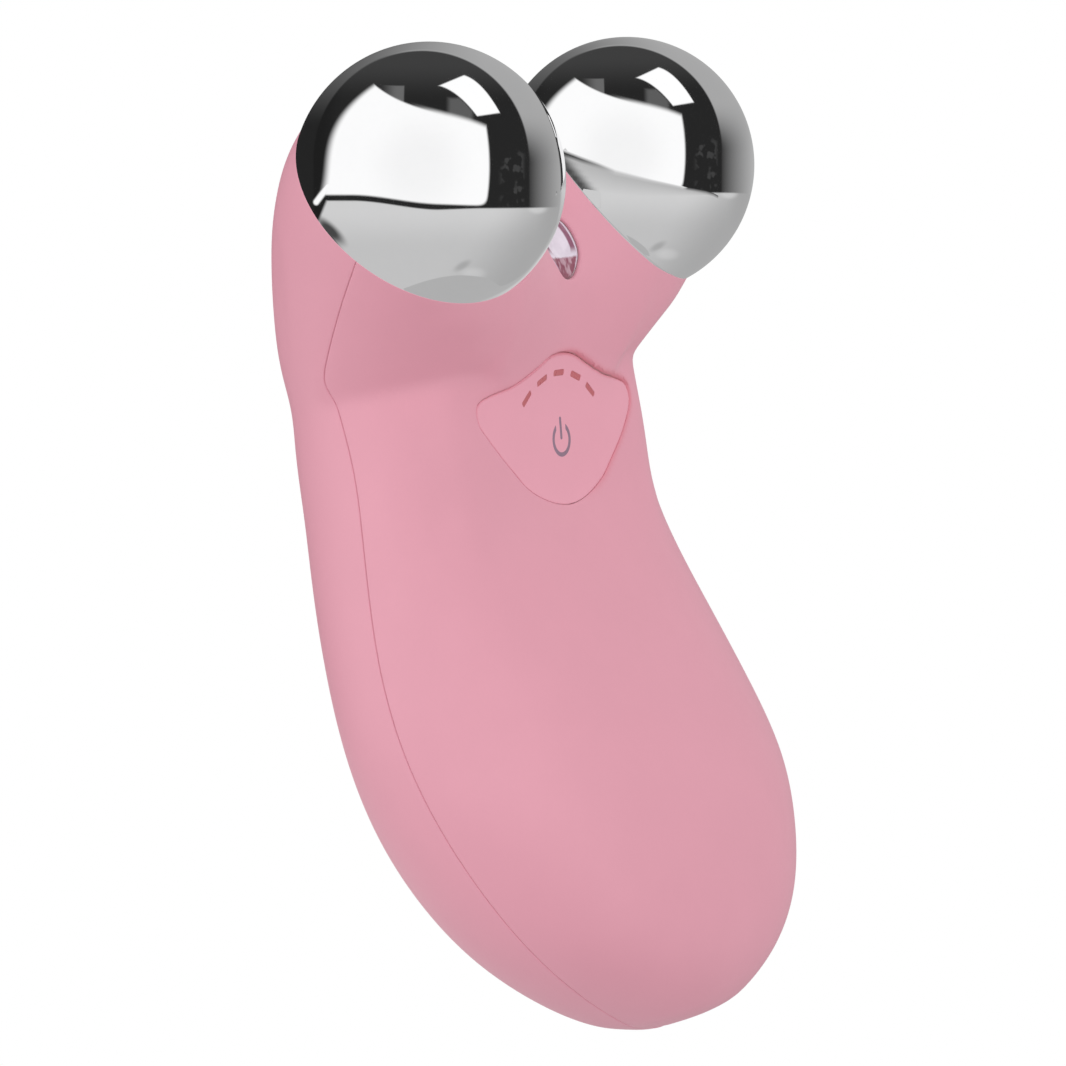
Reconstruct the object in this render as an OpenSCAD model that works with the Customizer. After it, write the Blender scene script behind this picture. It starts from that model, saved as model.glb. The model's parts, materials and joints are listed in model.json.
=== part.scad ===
// Hand-held facial toning device: two chrome electrode balls on a two-shell
// casing, a sprung power button on the front, level lights, a small light
// window between the balls and a round charging socket at the bottom.
// +Z runs up the long axis, -Y is the button side, X = 0 is the mirror plane.
// The origin is the centre of the charging socket's mouth.

/* [Electrode balls] */
// Radius of each electrode ball
ball_r = 17; // [16.8:0.1:17.2]
// Sideways distance of each ball centre from the mirror plane
ball_x = 23.7; // [23.5:0.1:24]
// Height of the ball centres above the bottom tip
ball_z = 111.3; // [111:0.1:111.6]
// Distance of the ball centres in front of the bottom tip
ball_y = 8; // [7.8:0.1:8.2]
// Angle between a ball's facing direction and straight up
ball_tilt = 62.5; // [62:0.5:63]
// Outward turn of a ball's facing direction
ball_splay = 16.7; // [16:0.1:17]
// Distance of the casing's rim plane behind the ball centre
rim_back = 3.7; // [3.6:0.1:3.8]
// Thickness of the plated ball shell
ball_wall = 1.5; // [1.2:0.1:1.8]

/* [Casing] */
// Wall thickness of both shells
wall = 1.8; // [1.6:0.1:2]
// Radius of the opening that takes the ball's skirt
mouth_r = 15.4; // [15.3:0.1:15.5]
// Depth of the shallow landing around the charging socket
landing_d = 0.5; // [0.4:0.1:0.7]

/* [Button] */
// How far the button stands proud of the casing
cap_proud = 0.1; // [0:0.1:0.3]
// Thickness of the button's face
cap_t = 1.6; // [1.4:0.1:1.8]
// Gap between the button and the casing all round
cap_gap = 0.25; // [0.2:0.05:0.3]
// Height of the power switch above the bottom tip
switch_z = 77; // [76.5:0.5:77.5]
// Radius of the arc of level lights
light_arc = 12.6; // [12.4:0.1:12.8]
// Angle between two neighbouring level lights
light_step = 18.9; // [18.5:0.1:19.2]

/* [Electronics] */
// Front face of the main board, behind the bottom tip
board_y = 6.6; // [6.4:0.1:6.8]
// Width of the main board
board_w = 27; // [26:1:28]
// Battery width
cell_w = 30; // [28:1:32]
// Battery height
cell_h = 42; // [38:1:44]
// Battery thickness
cell_t = 8; // [7:0.5:8.5]

/* [Charging socket] */
// Radius of the socket's centre pin
pin_r = 0.65; // [0.6:0.05:0.7]
// Inside radius of the socket barrel
barrel_r = 1.8; // [1.75:0.05:1.85]
// Free length of the centre pin
pin_l = 7; // [6.5:0.5:7.5]

/* [Hidden] */

pink = [0.88, 0.63, 0.70];
chrome = [0.80, 0.81, 0.82];
nylon = [0.16, 0.16, 0.17];
brass = [0.80, 0.66, 0.35];
green = [0.10, 0.36, 0.22];
clear = [0.93, 0.90, 0.95];

// the casing is laid out from its bottom tip; the socket's mouth, the
// origin, lies 4 mm in front of that tip and 1 mm above it
socket_y = 4;
socket_z = 1;
module placed() translate([0, socket_y, -socket_z]) children();

tail_w = 0.7;
ball_c = [ball_x, -ball_y, ball_z];
rim_r = sqrt(ball_r * ball_r - rim_back * rim_back);

// ---------------------------------------------------------------- casing
// sections: height, half width, parting line y, front y, back y, front
// squareness (exponent of the section's front half)
SEC = [
  [0.0, 0.3, 0.0, -0.3, 0.3, 2.2],
  [0.6, 4.7, -1.2, -5.6, 3.2, 2.2],
  [1.5, 8.2, -1.8, -9.2, 5.6, 2.2],
  [3, 11.7, -2.0, -12.0, 8.4, 2.2],
  [7, 18.0, -1.9, -15.7, 12.9, 2.2],
  [13, 24.5, -1.0, -18.2, 17.7, 2.2],
  [21, 29.5, 1.0, -19.2, 22.2, 2.2],
  [31, 33.0, 3.6, -18.4, 25.5, 2.2],
  [42, 34.2, 6.2, -14.8, 27.1, 2.2],
  [54, 33.3, 7.8, -9.2, 27.8, 2.4],
  [62, 32.2, 8.0, -5.5, 28.0, 2.6],
  [69, 31.3, 7.8, -3.4, 27.8, 2.8],
  [77, 30.2, 7.8, -4.2, 27.5, 2.9],
  [88, 29.0, 9.2, -6.0, 27.0, 2.9]];
back_n = 2.2;
NS = len(SEC);
// the table is read along the root of the height, which rounds the tip
SU = [for (r = SEC) sqrt(r[0])];
function col(k) = [for (r = SEC) r[k]];
function dlt(v, i) = (v[i + 1] - v[i]) / (SU[i + 1] - SU[i]);
function slope(v, i) =
  i == 0 ? dlt(v, 0) : i == NS - 1 ? dlt(v, NS - 2) :
  let (a = dlt(v, i - 1), b = dlt(v, i), h0 = SU[i] - SU[i - 1], h1 = SU[i + 1] - SU[i])
  a * b <= 0 ? 0 : 3 * (h0 + h1) / ((2 * h1 + h0) / a + (h1 + 2 * h0) / b);
function slopes(v) = [for (i = [0:NS - 1]) slope(v, i)];
VW = col(1); VP = col(2); VF = col(3); VB = col(4); VN = col(5);
MW = slopes(VW); MP = slopes(VP); MF = slopes(VF); MB = slopes(VB); MN = slopes(VN);
function seg(u, i = 0) = i >= NS - 2 || u < SU[i + 1] ? i : seg(u, i + 1);
function herm(v, m, u, i) =
  let (h = SU[i + 1] - SU[i], t = (u - SU[i]) / h, t2 = t * t, t3 = t2 * t)
  v[i] * (2 * t3 - 3 * t2 + 1) + m[i] * h * (t3 - 2 * t2 + t)
  + v[i + 1] * (3 * t2 - 2 * t3) + m[i + 1] * h * (t3 - t2);
function sec(z) = let (u = sqrt(max(0, min(88, z))), i = seg(u))
  [herm(VW, MW, u, i), herm(VP, MP, u, i), herm(VF, MF, u, i), herm(VB, MB, u, i), herm(VN, MN, u, i)];
function pw(c, e) = sign(c) * pow(abs(c), e);
function ring(z, zs, t, n) = let (s = sec(zs))
  [for (k = [0:n - 1]) let (a = 360 * (k + 0.5) / n, c = cos(a), d = sin(a), e = 2 / (d < 0 ? s[4] : back_n))
    [max(0.05, s[0] - t) * pw(c, e),
     s[1] + (d < 0 ? max(0.05, s[1] - s[2] - t) : max(0.05, s[3] - s[1] - t)) * pw(d, e), z]];
function flat(v) = [for (a = v) for (b = a) b];
// skin over a stack of rings, all with n points
module loft(rs, n) {
  m = len(rs);
  polyhedron(points = flat(rs), convexity = 6, faces = concat(
    [[for (k = [0:n - 1]) k]],
    [for (j = [0:m - 2]) for (k = [0:n - 1]) let (a = j * n + k, b = j * n + (k + 1) % n) [a, a + n, b]],
    [for (j = [0:m - 2]) for (k = [0:n - 1]) let (a = j * n + k, b = j * n + (k + 1) % n) [b, a + n, b + n]],
    [[for (k = [n - 1:-1:0]) (m - 1) * n + k]]));
}
NB = 52;
ZO = [0.02, 0.3, 0.9, 1.8, 3.2, 5.2, 7.8, 11, 15, 20, 25.5, 31, 37, 43, 49, 55, 60, 65, 70, 75, 80, 84, 88];
module body_out() loft([for (z = ZO) ring(z, z, 0, NB)], NB);
// inner wall: pushed straight up at the tip, straight in higher up
ZI = [0.05, 0.8, 2, 3.6, 6, 9, 12.5, 17, 22, 28, 34, 40, 46, 52, 58, 64, 70, 76, 82];
module body_in() {
  function k(z) = max(0, 1 - z / 14);
  function th(z) = wall * (1 + 1.6 * k(z) * (1 - k(z)));
  loft(concat([for (z = ZI) ring(z + th(z) * k(z), z, th(z) * (1 - k(z)), NB)],
    [ring(88.5, 88, wall, NB)]), NB);
}

// ----------------------------------------------------------------- horns
// a horn runs from a ball's rim down into the casing as a stack of tilted
// discs: back edge [s, z], front edge [s, z], half width, sideways shift,
// with s measured backwards from the rim's centre along the horn's heading
rim_c = ball_c + rim_back * [-sin(ball_tilt) * sin(ball_splay), sin(ball_tilt) * cos(ball_splay), -cos(ball_tilt)];
HORN = [
  [[13.0, 121.8], [-7.2, 94.4], 16.6, -0.2],
  [[18.6, 117.3], [-6.3, 93.2], 16.2, -0.6],
  [[23.8, 111.3], [-4.8, 91.7], 15.6, -1.2],
  [[27.4, 103.5], [-3.1, 90.2], 14.9, -2.0],
  [[29.8, 95.5], [-1.4, 88.7], 14.5, -2.8]];
module heading() translate([rim_c[0], rim_c[1], 0]) rotate([0, 0, ball_splay]) children();
module disc(d, t) {
  bk = d[0]; fr = d[1]; dv = fr - bk; r = norm(dv) / 2; c = (bk + fr) / 2;
  heading() translate([d[3], c[0], c[1]]) rotate([atan2(dv[1], dv[0]), 0, 0])
    linear_extrude(0.04) scale([(d[2] - t) / (r - t), 1]) circle(r - t, $fn = 44);
}
module at_ball() translate(ball_c) rotate([0, ball_tilt, ball_splay - 90]) children();
// section outline of one half of the casing at the horn's foot
foot_z = 86.4;
module foot(t) translate([0, 0, foot_z - t]) linear_extrude(0.04)
  polygon([for (p = ring(0, foot_z, t + 0.2, 38)) if (p[0] > 0) [p[0], p[1]]]);
module horn_out() hull() {
  at_ball() translate([0, 0, -rim_back - 0.04]) cylinder(r = rim_r, h = 0.04, $fn = 52);
  for (d = HORN) disc(d, 0);
  foot(0);
}
module horn_in() hull() {
  at_ball() translate([0, 0, -rim_back - 3.4]) cylinder(r = rim_r - wall, h = 0.04, $fn = 48);
  for (d = HORN) disc(d, wall);
  foot(wall);
}
// web between the horns: front face, top and back slope as [y, z]
WEB = [[-5.9, 87.4], [-8.4, 92], [-11, 96.7], [-10.9, 98.2], [-10.2, 100.2], [-9.3, 102.4], [-8.2, 104.6], [-6.8, 106.6], [-4.8, 108.2],
  [-1, 109.1], [5, 108], [11, 105], [17, 100.5], [22, 94.5], [26, 87]];
module web(t, w) rotate([90, 0, 90]) translate([0, 0, -w])
  linear_extrude(2 * w) offset(delta = -t) polygon(concat(WEB, [[24, 80], [0, 80]]));

module outer() {
  body_out();
  web(0, 11);
  for (m = [0, 1]) mirror([m, 0, 0]) horn_out();
}
module inner() {
  body_in();
  web(wall, 11);
  for (m = [0, 1]) mirror([m, 0, 0]) horn_in();
}

// -------------------------------------------------------------- parting
// the shells part along the widest line of the casing and of the horns;
// between the horns the line crosses the web well behind its front
kink = [9.5, 89.6];
function smooth(a, b, x) = let (t = max(0, min(1, (x - a) / (b - a)))) t * t * (3 - 2 * t);
function part_y(x, z) = z < kink[1]
  ? let (v = sec(z)[1]) z < 88 ? v : v + (z - 88) / (kink[1] - 88) * (kink[0] - v)
  : kink[0] - 1.078 * (z - kink[1]) * smooth(13, 27, abs(x));
PX = [-60, -34, -27, -24, -21, -18, -15.5, -13, 0, 13, 15.5, 18, 21, 24, 27, 34, 60];
PZ = [-5, 0, 0.3, 0.9, 2, 4, 7, 11, 16, 22, 28, 34, 41, 48, 55, 62, 70, 78, 84, 88, 89.6, 96, 103, 110, 118, 135];
module front_side() {
  nx = len(PX); nz = len(PZ);
  pts = concat([for (z = PZ) for (x = PX) [x, part_y(x, max(0, z)), z]], [for (z = PZ) for (x = PX) [x, -90, z]]);
  o = nx * nz;
  function q(a, b, c, d) = [[a, c, b], [a, d, c]];
  polyhedron(points = pts, convexity = 6, faces = concat(
    flat([for (j = [0:nz - 2]) for (i = [0:nx - 2]) let (a = j * nx + i) q(a, a + nx, a + nx + 1, a + 1)]),
    flat([for (j = [0:nz - 2]) for (i = [0:nx - 2]) let (a = o + j * nx + i) q(a, a + 1, a + nx + 1, a + nx)]),
    flat([for (i = [0:nx - 2]) q(i, i + 1, o + i + 1, o + i)]),
    flat([for (i = [0:nx - 2]) let (a = (nz - 1) * nx + i) q(a, o + a, o + a + 1, a + 1)]),
    flat([for (j = [0:nz - 2]) let (a = j * nx) q(a, o + a, o + a + nx, a + nx)]),
    flat([for (j = [0:nz - 2]) let (a = j * nx + nx - 1) q(a, a + nx, o + a + nx, o + a)])));
}

// what is taken out of both shells for the balls and their seats
module ball_room() {
  for (m = [0, 1]) mirror([m, 0, 0]) at_ball() {
    translate([0, 0, -rim_back]) cylinder(r = 40, h = 60, $fn = 12);
    translate([0, 0, -rim_back - 1.8]) cylinder(r = mouth_r, h = 3, $fn = 72);
    translate([0, 0, -rim_back - 6]) cylinder(r = 11, h = 6, $fn = 48);
  }
}
// flange that carries a ball seat
module seat_flange() {
  for (m = [0, 1]) mirror([m, 0, 0]) at_ball()
    translate([0, 0, -rim_back - 3.6]) cylinder(r = rim_r - 0.6, h = 1.9, $fn = 48);
}

// --------------------------------------------------------------- button
// shield outline, right half, as [x, z] from the top point to the bottom
SHIELD = [[0, 87.7], [3, 87.3], [5.8, 86.2], [8.8, 85.1], [11.6, 84.3], [15, 83.8], [17.2, 83.3],
  [18.3, 82.5], [18.5, 81.3], [18.2, 80], [16.4, 77.8], [14, 75.4], [11.6, 73.3], [9.3, 71.4], [6.6, 70], [3.3, 68.9], [0, 68.5]];
module shield(d) offset(delta = d) polygon(concat(
  [for (p = SHIELD) [p[0], p[1]]], [for (i = [len(SHIELD) - 2:-1:1]) [-SHIELD[i][0], SHIELD[i][1]]]));
function front_y(x, z) = let (s = sec(z)) s[1] - (s[1] - s[2]) * pow(1 - pow(min(1, abs(x) / s[0]), s[4]), 1 / s[4]);
// slab that follows the casing's front face, from depth a to depth b
module front_slab(a, b) {
  nx = 16; nz = 10;
  function gx(i) = -20.6 + 41.2 * i / (nx - 1);
  function gz(j) = 66.35 + 23.7 * j / (nz - 1);
  o = nx * nz;
  function q(a, b, c, d) = [[a, c, b], [a, d, c]];
  polyhedron(convexity = 4,
    points = concat([for (j = [0:nz - 1]) for (i = [0:nx - 1]) [gx(i), front_y(gx(i), gz(j)) + b, gz(j)]],
      [for (j = [0:nz - 1]) for (i = [0:nx - 1]) [gx(i), front_y(gx(i), gz(j)) + a, gz(j)]]),
    faces = concat(
    flat([for (j = [0:nz - 2]) for (i = [0:nx - 2]) let (a = j * nx + i) q(a, a + nx, a + nx + 1, a + 1)]),
    flat([for (j = [0:nz - 2]) for (i = [0:nx - 2]) let (a = o + j * nx + i) q(a, a + 1, a + nx + 1, a + nx)]),
    flat([for (i = [0:nx - 2]) q(i, i + 1, o + i + 1, o + i)]),
    flat([for (i = [0:nx - 2]) let (a = (nz - 1) * nx + i) q(a, o + a, o + a + 1, a + 1)]),
    flat([for (j = [0:nz - 2]) let (a = j * nx) q(a, o + a, o + a + nx, a + nx)]),
    flat([for (j = [0:nz - 2]) let (a = j * nx + nx - 1) q(a, a + nx, o + a + nx, o + a)])));
}
// 2-D shapes in x and z, carried along y from a to b
module along_y(a, b) translate([0, b, 0]) rotate([90, 0, 0]) linear_extrude(b - a) children();
light_c = 85.3 - light_arc;
module at_lights() for (k = [-2:2]) translate([0, light_c]) rotate(-k * light_step) translate([0, light_arc]) children();
module dash(l, w) hull() for (s = [-1, 1]) translate([s * (l - w) / 2, 0]) circle(w / 2, $fn = 16);
module symbol2d(d) translate([0, switch_z - 0.1]) {
  difference() {
    circle(2.2 + d, $fn = 48);
    circle(1.65 - d, $fn = 48);
    translate([-1.2 + d, 0]) square([2.4 - 2 * d, 4]);
  }
  translate([-0.25 - d, 0.1 - d]) square([0.5 + 2 * d, 3 + 2 * d]);
}
post_r = 2;
post_y = board_y - 4.55;

// ---------------------------------------------------------------- lens
// window outline, right half, as [x, z] from the bottom to the top
LENS = [[0, 96.7], [0.8, 96.8], [1.5, 97.15], [2.1, 97.75], [2.75, 98.6], [3.35, 99.5], [3.75, 100.5], [3.95, 101.8], [4, 103.3],
  [3.8, 104.7], [3, 105.9], [1.6, 106.7], [0, 106.9]];
glow_z = 101.6;
module lens2d(d) offset(delta = d) polygon(concat(LENS, [for (i = [len(LENS) - 2:-1:1]) [-LENS[i][0], LENS[i][1]]]));

// ------------------------------------------------- screws and main board
BOSS = [[10.5, 57], [10.5, 91.3]];
module boss_at() for (b = BOSS) for (s = [-1, 1]) translate([s * b[0], 0, b[1]]) children();

// smooth tube along points, nf sides
function cr(p, t) = let (n = len(p) - 1, i = min(n - 1, floor(t)), f = t - i,
  a = p[max(0, i - 1)], b = p[i], c = p[i + 1], d = p[min(n, i + 2)])
  0.5 * (2 * b + (c - a) * f + (2 * a - 5 * b + 4 * c - d) * f * f + (3 * b - a - 3 * c + d) * f * f * f);
module tube(p, r, step = 0.25, nf = 8) {
  T = [for (t = [0:step:len(p) - 1 + 0.001]) cr(p, min(t, len(p) - 1))];
  m = len(T);
  function tan_(i) = let (d = T[min(m - 1, i + 1)] - T[max(0, i - 1)]) d / norm(d);
  function rng(i) = let (t = tan_(i), a0 = cross(t, [1, 0.02, 0.03]), a = a0 / norm(a0), b = cross(t, a))
    [for (k = [0:nf - 1]) T[i] + r * (cos(360 * k / nf) * a + sin(360 * k / nf) * b)];
  loft([for (i = [0:m - 1]) rng(i)], nf);
}

// ================================================================ parts
module front_shell() color(pink) placed() resize([0, 0, 0]) difference() {
  intersection() {
    outer();
    front_side();
  }
  difference() {
    inner();
    seat_flange();
    boss_at() rotate([-90, 0, 0]) translate([0, 0, -30]) cylinder(r = 2.4, h = 30 + board_y, $fn = 20);
  }
  ball_room();
  // button opening
  along_y(-20, 0.4) shield(0);
  // light window: seat with a ledge behind it
  difference() {
    along_y(-20, -4.5) lens2d(0.15);
    web(1.25, 12);
  }
  along_y(-20, -4) lens2d(-0.7);
  // screw holes in the bosses
  boss_at() rotate([-90, 0, 0]) cylinder(r = 0.95, h = 20, $fn = 16);
  // charging socket: passage and shallow landing
  translate([0, -socket_y, -5]) cylinder(r = 2.95, h = 10, $fn = 32);
  translate([0, -socket_y, -5]) linear_extrude(5 + landing_d) hull()
    for (s = [-1, 1]) translate([3 * s, 0]) circle(2.8, $fn = 32);
}
module back_shell() color(pink) placed() resize([0, 0, 0]) difference() {
  outer();
  difference() {
    inner();
    seat_flange();
  }
  front_side();
  ball_room();
  translate([0, -socket_y, -5]) cylinder(r = 2.95, h = 10, $fn = 32);
}

module one_ball() color(chrome) placed() at_ball() {
  difference() {
    union() {
      difference() {
        sphere(ball_r, $fn = 96);
        translate([0, 0, -30 - rim_back + 0.12]) cylinder(r = 30, h = 30, $fn = 96);
      }
      translate([0, 0, -rim_back - 1.5]) cylinder(r = mouth_r - 0.25, h = 3, $fn = 96);
    }
    sphere(ball_r - ball_wall, $fn = 96);
    translate([0, 0, -rim_back - 2]) cylinder(r = mouth_r - 0.25 - ball_wall, h = 4, $fn = 96);
  }
  difference() {
    translate([0, 0, -rim_back - 0.5]) cylinder(r = 3.2, h = rim_back + ball_r - ball_wall + 0.3, $fn = 48);
    translate([0, 0, -rim_back - 1]) cylinder(r = 1.5, h = 9, $fn = 48);
  }
}
module one_seat() color(nylon) placed() at_ball() difference() {
  union() {
    translate([0, 0, -rim_back - 1.75]) cylinder(r = 13.4, h = 1.2, $fn = 72);
    translate([0, 0, -rim_back - 3.6]) cylinder(r = 10.9, h = 2, $fn = 72);
  }
  translate([0, 0, -rim_back - 4]) cylinder(r = 1.6, h = 4, $fn = 48);
}
module one_screw() color(brass) placed() at_ball() {
  translate([0, 0, -rim_back - 4.2]) cylinder(r = 1.5, h = 10, $fn = 48);
  translate([0, 0, -rim_back - 5.8]) difference() {
    cylinder(r = 2.8, h = 1.6, $fn = 48);
    translate([-2, -0.3, -0.4]) cube([4, 0.6, 0.9]);
  }
}
module one_washer() color(brass) placed() at_ball() translate([0, 0, -rim_back - 4.15]) difference() {
  union() {
    cylinder(r = 3, h = 0.5, $fn = 48);
    translate([1.5, -1.1, 0]) cube([4.6, 2.2, 0.5]);
  }
  translate([0, 0, -1]) cylinder(r = 1.55, h = 3, $fn = 48);
}
module one_wire() color("firebrick") placed() tube([[20.6, 1.2, 99.6], [20, 3, 97.6], [18, 5.4, 95], [14.5, 8.3, 91.6], [11.6, 8.9, 87.4], [11.4, 8.4, 85.4]], 0.5, 0.34);

module left_electrode_ball() mirror([1, 0, 0]) one_ball();
module right_electrode_ball() one_ball();
module left_ball_seat() mirror([1, 0, 0]) one_seat();
module right_ball_seat() one_seat();
module left_contact_screw() mirror([1, 0, 0]) one_screw();
module right_contact_screw() one_screw();
module left_contact_washer() mirror([1, 0, 0]) one_washer();
module right_contact_washer() one_washer();
module left_electrode_wire() mirror([1, 0, 0]) one_wire();
module right_electrode_wire() one_wire();

// the cap: face, retaining rim behind the wall, and the post to the switch
module power_button() color([0.90, 0.65, 0.71]) placed() resize([0, 0, 0]) {
  difference() {
    intersection() { front_slab(-cap_proud, 3.1); along_y(-20, 10) shield(0.8); }
    intersection() { front_slab(-6, wall + 0.4); along_y(-21, 11) difference() { shield(3); shield(-cap_gap); } }
    intersection() { front_slab(-cap_proud + cap_t, 6); along_y(-21, 11) shield(-1.3); }
    along_y(-20, 10) at_lights() dash(2.5, 0.76);
    intersection() { front_slab(-3, -cap_proud + 0.4); along_y(-20, 10) symbol2d(0.03); }
  }
  translate([0, post_y, switch_z]) rotate([90, 0, 0]) cylinder(r = post_r, h = post_y + 3.4, $fn = 32);
}
module indicator_windows() color([0.72, 0.38, 0.42]) placed() resize([0, 0, 0])
  intersection() { front_slab(-cap_proud + 0.03, -cap_proud + cap_t); along_y(-20, 10) at_lights() dash(2.46, 0.72); }
module power_symbol() color([0.55, 0.44, 0.50]) placed() resize([0, 0, 0])
  intersection() { front_slab(-cap_proud + 0.01, -cap_proud + 0.38); along_y(-20, 10) symbol2d(0); }

module light_guide() color(clear) placed() {
  translate([0, 5.3, light_c]) rotate([90, 0, 0]) rotate([0, 0, 42]) rotate_extrude(angle = 96, $fn = 96)
    translate([light_arc - 1.2, 0]) square([2.4, 1.6]);
  along_y(-1.9, 4) at_lights() translate([-0.8, -0.55]) square([1.6, 1.1]);
}
module indicator_leds() color([0.95, 0.93, 0.85]) placed()
  along_y(board_y - 0.8, board_y) at_lights() translate([-0.8, -0.45]) square([1.6, 0.9]);

module main_board() color(green) placed() difference() {
  along_y(board_y, board_y + 1.2) hull() {
    for (s = [-1, 1]) translate([s * (board_w / 2 - 2), 36]) circle(2, $fn = 24);
    for (s = [-1, 1]) translate([s * (board_w / 2 - 2), 93]) circle(2, $fn = 24);
  }
  boss_at() rotate([-90, 0, 0]) cylinder(r = 1.1, h = 20, $fn = 32);
}
module board_screws() color([0.7, 0.71, 0.73]) placed() boss_at() {
  translate([0, board_y - 4.2, 0]) rotate([-90, 0, 0]) cylinder(r = 0.85, h = 5.5, $fn = 32);
  translate([0, board_y + 1.2, 0]) rotate([-90, 0, 0]) difference() {
    cylinder(r = 1.8, h = 1.1, $fn = 32);
    translate([-1.1, -0.2, 0.6]) cube([2.2, 0.4, 1]);
    translate([-0.2, -1.1, 0.6]) cube([0.4, 2.2, 1]);
  }
}
module tactile_switch() color([0.12, 0.12, 0.13]) placed() translate([0, board_y, switch_z]) rotate([90, 0, 0])
  difference() {
    translate([-3, -3, 0]) cube([6, 6, 3.5]);
    translate([0, 0, 1.6]) cylinder(r = 1.8, h = 3, $fn = 48);
  }
module switch_plunger() color([0.85, 0.82, 0.76]) placed() translate([0, board_y - 2.4, switch_z]) rotate([90, 0, 0])
  cylinder(r = 1.75, h = 2.1, $fn = 48);
module microcontroller() color([0.13, 0.13, 0.14]) placed() translate([-3.5, board_y - 0.9, 62]) cube([7, 0.9, 7]);
module boost_inductor() color([0.30, 0.28, 0.27]) placed() translate([-5.5, board_y, 51]) rotate([90, 0, 0]) difference() {
  cylinder(r = 4, h = 3.8, $fn = 48);
  translate([0, 0, 3]) cylinder(r = 2.2, h = 2, $fn = 48);
}
module output_capacitors() color([0.62, 0.64, 0.68]) placed() for (i = [0, 1])
  translate([4 + 5.2 * i, board_y, 46]) rotate([90, 0, 0]) cylinder(r = 2.2, h = 5, $fn = 48);
module buzzer() color([0.15, 0.15, 0.16]) placed() translate([0, board_y + 1.2, 85]) rotate([-90, 0, 0]) difference() {
  cylinder(r = 5, h = 3.2, $fn = 48);
  translate([0, 0, 2.4]) cylinder(r = 1, h = 2, $fn = 32);
}

cell_y = board_y + 2.4;
module battery() color([0.78, 0.80, 0.83]) placed() {
  translate([-cell_w / 2 + cell_t / 2, cell_y + cell_t / 2, 32]) {
    cylinder(r = cell_t / 2, h = cell_h, $fn = 48);
    translate([cell_w - cell_t, 0, 0]) cylinder(r = cell_t / 2, h = cell_h, $fn = 48);
    translate([0, -cell_t / 2, 0]) cube([cell_w - cell_t, cell_t, cell_h]);
  }
}
module battery_pad() color([0.25, 0.25, 0.27]) placed()
  translate([-10, board_y + 1.25, 38]) cube([20, 1.1, 16]);
module battery_plug() color([0.92, 0.91, 0.86]) placed() translate([-10, board_y + 1.2, 74.5]) cube([6, 3.4, 4.6]);
module battery_leads() color("firebrick") placed() for (s = [0, 1])
  tube([[-5 + 2 * s, cell_y + 4, 74.1], [-5.2 + 2 * s, cell_y + 4, 77], [-6.1 + 1.4 * s, cell_y + 3.4, 80.4], [-7.6 + 1.4 * s, cell_y + 1.4, 81.4], [-7.8 + 1.4 * s, board_y + 3, 79.1]], 0.45, 0.34);

module charging_socket() color([0.14, 0.14, 0.15]) translate([0, 0, 0]) difference() {
  union() {
    cylinder(r = 2.8, h = 4, $fn = 64);
    translate([-4, -3.4, 3.4]) cube([8, 6.8, 6]);
  }
  translate([0, 0, -1]) cylinder(r = barrel_r, h = 1 + pin_l, $fn = 64);
  translate([-tail_w / 2 - 0.02, -tail_w / 2 - 0.02, 5]) cube([tail_w + 0.04, tail_w + 0.04, 6]);
}
module socket_pin() color([0.82, 0.83, 0.84]) {
  cylinder(r = pin_r, h = pin_l, $fn = 48);
  translate([-tail_w / 2, -tail_w / 2, pin_l]) cube([tail_w, tail_w, 10.4 - pin_l]);
}
module socket_spring() color([0.82, 0.74, 0.5]) translate([2.6, -1, 6]) difference() {
  cube([2.2, 2, 5]);
  translate([-0.01, -1, -1]) cube([1.8, 4, 5.2]);
}
module socket_leads() color("firebrick") placed() {
  tube([[0, -4, 11.5], [0.2, -3.6, 13.4], [1.4, -2, 18.5], [3.2, 2, 26], [3.4, 5.4, 33], [3.4, 5.9, 38.6]], 0.45, 0.34);
  tube([[4.5, -4, 12.15], [4.6, -3.6, 14], [5.2, -2, 18.5], [6.4, 2, 26], [6.4, 5.4, 33], [6.4, 5.9, 38.6]], 0.45, 0.34);
}

module lens_window() color(clear) placed() resize([0, 0, 0]) difference() {
  intersection() {
    along_y(-14, -4.6) lens2d(0);
    web(0.4, 9);
  }
  web(1.2, 10);
}
module lens_reflector() color([0.93, 0.90, 0.92]) placed() difference() {
  translate([0, -2.6, glow_z]) rotate([90, 0, 0]) cylinder(r1 = 3, r2 = 3.7, h = 3.2, $fn = 48);
  translate([0, -2.5, glow_z]) rotate([90, 0, 0]) cylinder(r1 = 2.2, r2 = 3.1, h = 3.4, $fn = 48);
}
module lens_board() color(green) placed() difference() {
  translate([0, -1.2, glow_z]) rotate([90, 0, 0]) cylinder(r = 4.4, h = 1.2, $fn = 48);
  translate([1.8, 0, glow_z - 3.2]) rotate([90, 0, 0]) cylinder(r = 0.5, h = 4, $fn = 32);
}
module lens_led() color([0.97, 0.95, 0.80]) placed()
  translate([-1.4, -3.3, glow_z - 1.4]) cube([2.8, 0.9, 2.8]);
module lens_leads() color("firebrick") placed() for (s = [-1, 1])
  tube([[0.9 * s + 2, -0.75, 99.6], [0.9 * s + 2, 0.2, 98.6], [0.9 * s + 2, 2, 96.4], [0.9 * s + 2, 5.2, 93.4], [0.9 * s + 2, 6.1, 90.6]], 0.35, 0.34);

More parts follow.
